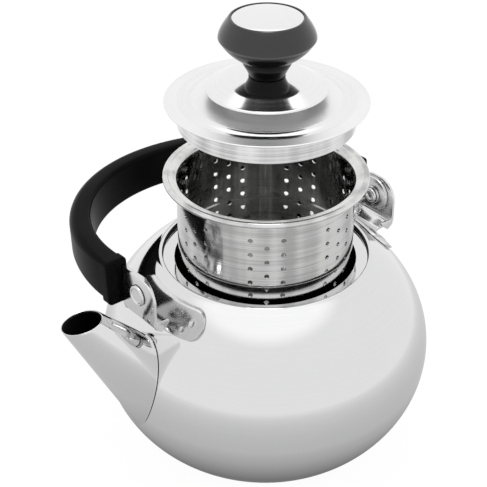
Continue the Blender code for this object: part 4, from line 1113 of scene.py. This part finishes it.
class TEAPOT_OT_handle(bpy.types.Operator):
    """Make the moulded grip and the two steel tangs in its ends"""
    bl_idname = "teapot.handle"
    bl_label = "Handle"

    def execute(self, context):
        settings = context.scene.teapot
        ears, handle, seam = settings.ears, settings.handle, settings.spout.seam
        fold = folded(ears, handle)
        outer = ears.face_x - ears.sheet - seam
        inner = outer - handle.tang_sheet

        grip = add_mesh("handle_arch", lofted(grip_sections(ears, handle)), moulded_black, sharp=40.0)
        room = (outer + seam, inner - seam)
        slots = [add_mesh("slot", tang_mesh(ears, handle, room, side, seam), moulded_black)
                 for _, side in SIDES]
        joined_solids(grip, slots, "DIFFERENCE")
        grip.data.transform(fold)
        placed(grip, "handle", "handle_grip")

        for name, side in SIDES:
            plate = add_mesh(name + "_tang_plate", tang_mesh(ears, handle, (outer, inner)), plate_steel)
            softened(plate, 0.3 * MM)
            cut_bore(plate, ears, seam, inner - 3 * MM, outer + 3 * MM)
            turned_to_side(plate, side).data.transform(fold)
            placed(plate, "handle", name + "_tang")
        return {"FINISHED"}


# --- Infuser basket --------------------------------------------------------------------
def perforator(name, inputs, points):
    """A node tree that cuts a round hole at each of its points, along each point's direction."""
    tree = bpy.data.node_groups.new(name, "GeometryNodeTree")
    tree.interface.new_socket("Geometry", in_out="INPUT", socket_type="NodeSocketGeometry")
    for label, value in inputs.items():
        kind = {int: "Int", float: "Float"}.get(type(value), "Material")
        tree.interface.new_socket(label, in_out="INPUT", socket_type="NodeSocket" + kind)
    tree.interface.new_socket("Geometry", in_out="OUTPUT", socket_type="NodeSocketGeometry")
    given = tree.nodes.new("NodeGroupInput")
    values = {socket.name: Signal(tree, socket) for socket in given.outputs if socket.name}
    start = Signal(tree)
    where, direction = points(start, values)
    cutter = start.node("GeometryNodeMeshCylinder", None,
                        {"Vertices": 20, "Radius": values["Hole Radius"], "Depth": values["Hole Length"]})
    turn = start.node("FunctionNodeAlignRotationToVector", {"axis": "Z"}, {"Vector": direction})
    cutters = start.node("GeometryNodeInstanceOnPoints", None,
                         {"Points": where, "Instance": cutter, "Rotation": turn})
    cutters = start.node("GeometryNodeRealizeInstances", None, {"Geometry": cutters})
    cut = start.node("GeometryNodeMeshBoolean", {"operation": "DIFFERENCE", "solver": "EXACT"},
                     {"Mesh 1": values["Geometry"], "Mesh 2": cutters})
    cut = start.node("GeometryNodeRealizeInstances", None, {"Geometry": cut})
    cut = start.node("GeometryNodeSetMaterial", None, {"Geometry": cut, "Material": values["Material"]})
    start.node("NodeGroupOutput", None, {"Geometry": cut})
    return tree


def wall_points(start, values):
    """Groups of columns around the wall; every second column is lowered by half a row."""
    groups, columns, rows = (values[name] for name in ("Groups", "Columns", "Rows"))
    total = groups * columns * rows
    index = start.node("GeometryNodeInputIndex")
    row = index % rows
    column_index = (index / rows).floor()
    column = column_index % columns
    group = (column_index / columns).floor()
    pattern = columns + values["Bare Columns"]
    middle = (columns - 1) * 0.5
    turn = values["Facing"] + (group * pattern + column - middle) * (2 * math.pi) / (pattern * groups)
    height = values["First Height"] - (column % 2) * 0.5 * values["Row Step"] - row * values["Row Step"]
    direction = vector(turn.maths("COSINE", turn), turn.maths("SINE", turn), 0.0)
    place = direction.on_vector("SCALE", values["Wall Radius"], "Scale")
    place = place.on_vector("ADD", vector(0.0, 0.0, height))
    dots = start.node("GeometryNodePoints", None, {"Count": total, "Position": place})
    # The direction is worked out again on each point from its own place.
    return dots, start.node("GeometryNodeInputPosition").on_vector("MULTIPLY", (1.0, 1.0, 0.0))


def floor_points(rings):
    """Rings of six, twelve, eighteen and so on about one middle hole."""
    def points(start, values):
        joined = start.node("GeometryNodeJoinGeometry")
        raised = vector(0.0, 0.0, values["Height"])
        parts = [start.node("GeometryNodePoints", None, {"Count": 1, "Position": raised})]
        for ring in range(1, rings + 1):
            circle = start.node("GeometryNodeMeshCircle", None,
                                {"Vertices": 6 * ring, "Radius": values["Ring Step"] * ring})
            circle = start.node("GeometryNodeSetPosition", None, {"Geometry": circle, "Offset": raised})
            parts.append(start.node("GeometryNodeMeshToPoints", None, {"Mesh": circle}))
        for part in parts:
            start.tree.links.new(part.socket, joined.socket.node.inputs[0])
        return joined, (0.0, 0.0, 1.0)
    return points


def perforated(piece, name, points, values):
    """Runs a perforating tree on the piece and keeps the result as its plain mesh."""
    modifier = piece.modifiers.new("holes", "NODES")
    modifier.node_group = perforator(name, values, points)
    for item in modifier.node_group.interface.items_tree:
        if item.item_type == "SOCKET" and item.in_out == "INPUT" and item.name in values:
            modifier[item.identifier] = values[item.name]
    return settled(piece)


class TEAPOT_OT_basket(bpy.types.Operator):
    """Make the infuser basket with its rolled rim and its perforated wall and floor"""
    bl_idname = "teapot.basket"
    bl_label = "Infuser Basket"

    def execute(self, context):
        settings = context.scene.teapot
        basket, seam = settings.basket, settings.spout.seam
        radius, sheet, step = basket.radius, basket.sheet, 2 * MM
        wall = radius - sheet
        bottom = basket.rim_z - basket.depth
        step_z = basket.rim_z - basket.step_depth
        low_wall, low_outer = wall - basket.step_in, radius - basket.step_in
        flange_top = basket.rim_z + 0.6 * MM
        flange_low = flange_top - sheet
        turn, foot = 2.9 * MM, 1.6 * MM
        neck_z = flange_low - turn
        profile = (Outline([(low_wall - basket.lip_width, bottom), (low_outer - foot, bottom)])
                   .bend((low_outer, bottom), (low_outer, bottom + foot), 6)
                   .run((low_outer, step_z - 0.9 * MM), step)
                   .bend((radius, step_z - 0.3 * MM), (radius, step_z + 0.3 * MM), 5)
                   .run((radius, neck_z), step)
                   .bend((radius, flange_low), (radius + turn, flange_low), 8)
                   .arc(basket.bead_centre, basket.rim_z, basket.bead, -150, 145, 26)
                   .to((radius + turn, flange_top))
                   .bend((wall, flange_top), (wall, neck_z), 12)
                   .run((wall, step_z), step)
                   .to((low_wall, step_z - 0.6 * MM))
                   .run((low_wall, bottom + sheet), step)
                   .to((low_wall - basket.lip_width, bottom + sheet)))
        facets = basket.hole_groups * (basket.hole_columns + basket.bare_columns) * 6
        piece = add_mesh("infuser_wall", turned(profile, facets), basket_outside)
        perforated(piece, "perforated_wall", wall_points, {
            "Hole Radius": basket.hole_radius, "Hole Length": 8 * sheet, "Wall Radius": radius,
            "Groups": basket.hole_groups, "Columns": basket.hole_columns,
            "Bare Columns": basket.bare_columns, "Rows": basket.hole_rows,
            "Facing": basket.hole_facing, "First Height": basket.rim_z - basket.hole_first,
            "Row Step": basket.hole_step, "Material": made(basket_outside)})
        # The faces inside the wall below the neck get the darker steel: painted shade.
        piece.data.materials.append(made(basket_inside))
        paint_faces(piece, len(piece.data.materials) - 1,
                    lambda middle, normal: middle.z < neck_z and inward(middle, normal))
        placed(piece, "infuser", "basket_wall")

        floor_z, radius, step = bottom + sheet + seam, low_wall - seam, 3 * MM
        disc = (Outline([(0.0, floor_z)]).run((radius, floor_z), step)
                .to((radius, floor_z + sheet)).run((0.0, floor_z + sheet), step))
        floor = add_mesh("infuser_floor", turned(disc, 96), basket_outside)
        perforated(floor, "perforated_floor", floor_points(basket.floor_rings), {
            "Hole Radius": basket.hole_radius, "Hole Length": 4 * sheet, "Height": floor_z + sheet / 2,
            "Ring Step": basket.floor_ring_step, "Material": made(basket_outside)})
        placed(floor, "infuser", "basket_bottom")
        return {"FINISHED"}


# --- Lid -------------------------------------------------------------------------------
def lid_part(name, profile, segments, maker, node):
    """Makes a piece turned about Z from one finish, which moves with the lid."""
    placed(add_mesh(name, turned(profile, segments), maker), "lid", node)


class TEAPOT_OT_lid(bpy.types.Operator):
    """Make the lid's plate, its skirt and the dished plate under the knob"""
    bl_idname = "teapot.lid"
    bl_label = "Lid"

    def execute(self, context):
        settings = context.scene.teapot
        lid, knob, seam = settings.lid, settings.knob, settings.spout.seam
        segments = settings.pot.segments
        hole = knob.screw_radius + seam
        top_z, middle_top = lid.edge_z + lid.sheet, lid.edge_z + lid.sheet + lid.step_rise
        middle_low, half_step = middle_top - lid.sheet, lid.step_rise / 2
        step, slope, bow, edge = 4 * MM, 1.5 * MM, 0.6 * MM, 0.4 * MM
        inside, outside = lid.step_radius - slope - bow, lid.step_radius + slope + bow
        plate = (Outline([(hole, middle_low)]).run((inside, middle_low), step)
                 .bend((inside + 0.8 * MM, middle_low), (lid.step_radius, lid.edge_z + half_step), 5)
                 .bend((outside - 0.8 * MM, lid.edge_z), (outside, lid.edge_z), 5)
                 .to((lid.radius - 0.5 * MM, lid.edge_z))
                 .arc(lid.radius - edge, lid.edge_z + edge, edge, -90, 90, 10)
                 .to((lid.radius - 0.5 * MM, top_z), (outside, top_z))
                 .bend((outside - 0.8 * MM, top_z), (lid.step_radius, top_z + half_step), 5)
                 .bend((inside + 0.8 * MM, middle_top), (inside, middle_top), 5)
                 .run((hole, middle_top), step))
        lid_part("lid_cover", plate, segments, lid_steel, "lid_plate")

        high, sheet, bow = lid.edge_z - seam, 0.8 * MM, 1.4 * MM
        outer, inner = lid.skirt_radius, lid.skirt_radius - sheet
        skirt = (Outline([(inner, high - lid.skirt_height), (outer, high - lid.skirt_height)])
                 .to((outer, high - bow))
                 .bend((outer, high), (outer - bow, high), 8)
                 .to((inner - lid.skirt_flange, high), (inner - lid.skirt_flange, high - sheet),
                     (inner - 0.8 * MM, high - sheet))
                 .bend((inner, high - sheet), (inner, high - sheet - 0.8 * MM), 5))
        lid_part("lid_collar", skirt, segments, skirt_steel, "lid_skirt")

        # From the seat's hole out along the underside to the flared rim, then back over the steep
        # shoulder and the dome to the knob's neck.
        crest, rim, seat = lid.dish_crest, lid.dish_radius, lid.dish_seat
        floor_z, top_z = lid.dish_z, lid.dish_z + lid.dish_rise + lid.dish_top
        floor_top = floor_z + lid.dish_sheet
        dish = (Outline([(hole, floor_z), (seat, floor_z), (seat + 0.3 * MM, floor_z + 0.3 * MM),
                         (seat + 0.3 * MM, floor_z + lid.dish_wall), (crest, top_z - 3.6 * MM),
                         (crest + 5.0 * MM, top_z - 5.6 * MM), (rim - 1.5 * MM, top_z - 6.4 * MM),
                         (rim - lid.dish_sheet, top_z - 6.9 * MM), (rim - 0.25 * MM, top_z - 6.9 * MM),
                         (rim, top_z - 6.7 * MM), (rim, top_z - 6.4 * MM)])
                .bend((rim, top_z - 5.7 * MM), (rim - 1.2 * MM, top_z - 5.4 * MM), 8)
                .to((crest + 2.8 * MM, top_z - 2.5 * MM))
                .bend((crest + 1.3 * MM, top_z - 1.6 * MM), (crest - 0.4 * MM, top_z - 1.35 * MM), 10)
                .bend((crest - 6.6 * MM, top_z - 0.4 * MM), (lid.dish_hole + 0.3 * MM, top_z), 20)
                .to((lid.dish_hole, top_z - 0.25 * MM), (lid.dish_hole, top_z - lid.dish_sheet),
                    (seat - 0.9 * MM, top_z - 3.4 * MM), (seat - 0.6 * MM, floor_top), (hole, floor_top)))
        piece = add_mesh("knob_dish", turned(dish, segments), dish_steel, shaded_steel)
        # The dished plate's underside and inner faces take the darker steel: painted shade.
        paint_faces(piece, 1, lambda middle, normal: normal.z < -0.2 or inward(middle, normal))
        placed(piece, "lid", "knob_rosette")
        return {"FINISHED"}


# --- Knob ------------------------------------------------------------------------------
class TEAPOT_OT_knob(bpy.types.Operator):
    """Make the knob with its steel cap, and the insert, screw and washer that fasten it"""
    bl_idname = "teapot.knob"
    bl_label = "Knob"

    def execute(self, context):
        settings = context.scene.teapot
        lid, knob, seam = settings.lid, settings.knob, settings.spout.seam
        facets = 128
        z, foot = knob.base_z, knob.foot_radius
        bore, recess = knob.insert_radius + seam, knob.cap_radius + seam
        bore_top = z + knob.insert_length + seam
        collar, widest, top = z + knob.collar_z, z + knob.widest_z, z + knob.height
        seat = top - knob.cap_sheet - seam
        turning = (Outline([(0.0, bore_top), (bore, bore_top), (bore, z), (foot - 0.4 * MM, z),
                            (foot, z + 0.4 * MM), (foot, z + knob.foot_height)])
                   .bend((knob.neck_radius, z + knob.neck_z), (knob.collar_radius, collar), 18)
                   .to((knob.collar_radius + 0.5 * MM, collar + 2.3 * MM))
                   .bend((knob.radius - 4.1 * MM, collar + 6.6 * MM), (knob.radius, widest), 26)
                   .bend((knob.radius, top - 7.2 * MM), (knob.top_radius + 0.3 * MM, top - 0.35 * MM), 20)
                   .bend((knob.top_radius, top), (knob.top_radius - 0.4 * MM, top), 5)
                   .to((recess + 0.2 * MM, top), (recess, top - 0.2 * MM), (recess, seat), (0.0, seat)))
        piece = add_mesh("knob_turning", turned(turning, facets), knob_black, satin_black)
        # The faces below the widest circle get the weak reflection: painted shade.
        paint_faces(piece, 1, lambda middle, normal: middle.z < widest - 1.5 * MM)
        placed(piece, "lid", "knob")

        low = seat + seam
        cap = [(0.0, low), (knob.cap_radius, low)]
        rings = 14
        for i in range(rings + 1):
            share = (rings - i) / rings
            dome = knob.cap_sheet + knob.cap_dome * (1 - share * share)
            edge = 0.35 * MM * max(0.0, (share - 0.9) / 0.1) ** 2
            cap.append((knob.cap_radius * share, low + dome - edge))
        lid_part("knob_plate", cap, facets, dish_steel, "knob_cap")

        thread, insert_top = knob.screw_radius + seam, z + knob.insert_length
        bush = knob.insert_radius
        insert = [(thread, z), (bush, z), (bush, insert_top), (thread, insert_top)]
        lid_part("knob_bush", insert, FACETS, turned_brass, "knob_insert")

        washer_top = lid.edge_z + lid.step_rise - seam
        washer_low, edge, corner = washer_top - 1.0 * MM, 7.0 * MM, 0.2 * MM
        washer = [(thread, washer_low), (edge - corner, washer_low), (edge, washer_low + corner),
                  (edge, washer_top), (thread, washer_top)]
        lid_part("lid_under_washer", washer, FACETS, plate_steel, "lid_washer")

        head_top, head, socket = washer_low - seam, 4.2 * MM, 1.1 * MM
        head_low, tip = head_top - 2.4 * MM, insert_top - 0.7 * MM
        low_edge = head_low + 1.2 * MM
        screw = (Outline([(0.0, low_edge), (socket, low_edge), (socket, head_low), (3.0 * MM, head_low)])
                 .bend((head, head_low), (head, low_edge), 6)
                 .to((head, head_top), (knob.screw_radius, head_top),
                     (knob.screw_radius, tip - 0.8 * MM), (0.0, tip)))
        lid_part("lid_screw", screw, FACETS, plate_steel, "knob_screw")
        return {"FINISHED"}


# --- Stage -----------------------------------------------------------------------------
def linked(context, name, data):
    """A new object for a lamp or a camera."""
    thing = bpy.data.objects.new(name, data)
    context.collection.objects.link(thing)
    return thing


class TEAPOT_OT_stage(bpy.types.Operator):
    """Make the pale floor, the soft light and the camera"""
    bl_idname = "teapot.stage"
    bl_label = "Stage"

    def execute(self, context):
        stage = context.scene.teapot.stage
        bm = bmesh.new()
        bmesh.ops.create_circle(bm, cap_ends=True, segments=96, radius=stage.floor_radius)
        bmesh.ops.translate(bm, vec=(0, 0, -0.05 * MM), verts=bm.verts)
        floor = add_mesh("floor", bm, pale_floor)

        world = bpy.data.worlds.new("room")
        context.scene.world = world
        world.use_nodes = True
        world.node_tree.nodes.clear()
        start = Signal(world.node_tree)
        place = start.node("ShaderNodeTexCoord", output="Generated")
        z = start.node("ShaderNodeSeparateXYZ", None, {0: place}, 2)
        upward = z.ramp(math.sin(stage.ceiling_low), math.sin(stage.ceiling_high))
        strength = stage.room + upward * (stage.ceiling - stage.room)
        room = start.node("ShaderNodeBackground", None, {"Color": WHITE, "Strength": strength})
        white = start.node("ShaderNodeBackground", None, {"Color": WHITE, "Strength": 1.0})
        in_view = start.node("ShaderNodeLightPath", output="Is Camera Ray")
        mixed = start.node("ShaderNodeMixShader", None, {0: in_view, 1: room, 2: white})
        start.node("ShaderNodeOutputWorld", None, {"Surface": mixed})

        light = bpy.data.lights.new("lamp", "AREA")
        light.shape = "DISK"
        light.size = stage.lamp_width
        area = math.pi * (stage.lamp_width / 2) ** 2
        light.energy = stage.lamp * math.pi * area
        lamp = linked(context, "lamp", light)
        lamp.location = (0, 0, stage.lamp_height)
        lamp.visible_camera = False

        camera = bpy.data.cameras.new("camera")
        camera.lens = stage.lens
        camera.sensor_width = 36.0
        eye = linked(context, "camera", camera)
        flat = math.cos(stage.elevation)
        eye.location = Vector(stage.aim) + stage.distance * Vector((
            flat * math.cos(stage.azimuth), flat * math.sin(stage.azimuth), math.sin(stage.elevation)))
        eye.rotation_euler = (math.pi / 2 - stage.elevation, 0, stage.azimuth + math.pi / 2)
        context.scene.camera = eye
        context.scene.view_settings.view_transform = "Standard"
        return {"FINISHED"}


# --- Panel and registration ------------------------------------------------------------
OPERATORS = (TEAPOT_OT_body, TEAPOT_OT_spout, TEAPOT_OT_ears, TEAPOT_OT_pivots, TEAPOT_OT_handle,
             TEAPOT_OT_basket, TEAPOT_OT_lid, TEAPOT_OT_knob, TEAPOT_OT_stage)


class TEAPOT_PT_pieces(bpy.types.Panel):
    """Lists the teapot's pieces in the sidebar"""
    bl_idname = "TEAPOT_PT_pieces"
    bl_label = "Teapot"
    bl_space_type = "VIEW_3D"
    bl_region_type = "UI"
    bl_category = "Teapot"

    def draw(self, context):
        for operator in OPERATORS:
            self.layout.operator(operator.bl_idname)
        settings = context.scene.teapot
        for group in TeapotSettings.__annotations__:
            box = self.layout.box()
            box.label(text=group.capitalize())
            values = getattr(settings, group)
            for name in values.__annotations__:
                box.prop(values, name)


CLASSES = (PotSizes, SpoutSizes, EarSizes, HandleSizes, BasketSizes, LidSizes, KnobSizes, Finishes,
           StageSettings, TeapotSettings, *OPERATORS, TEAPOT_PT_pieces)


def register():
    for cls in CLASSES:
        bpy.utils.register_class(cls)
    bpy.types.Scene.teapot = PointerProperty(type=TeapotSettings)


def unregister():
    del bpy.types.Scene.teapot
    for cls in reversed(CLASSES):
        bpy.utils.unregister_class(cls)


def main():
    register()
    for operator in OPERATORS:
        group, name = operator.bl_idname.split(".")
        getattr(getattr(bpy.ops, group), name)()
    bpy.context.view_layer.update()


if __name__ == "__main__":
    main()
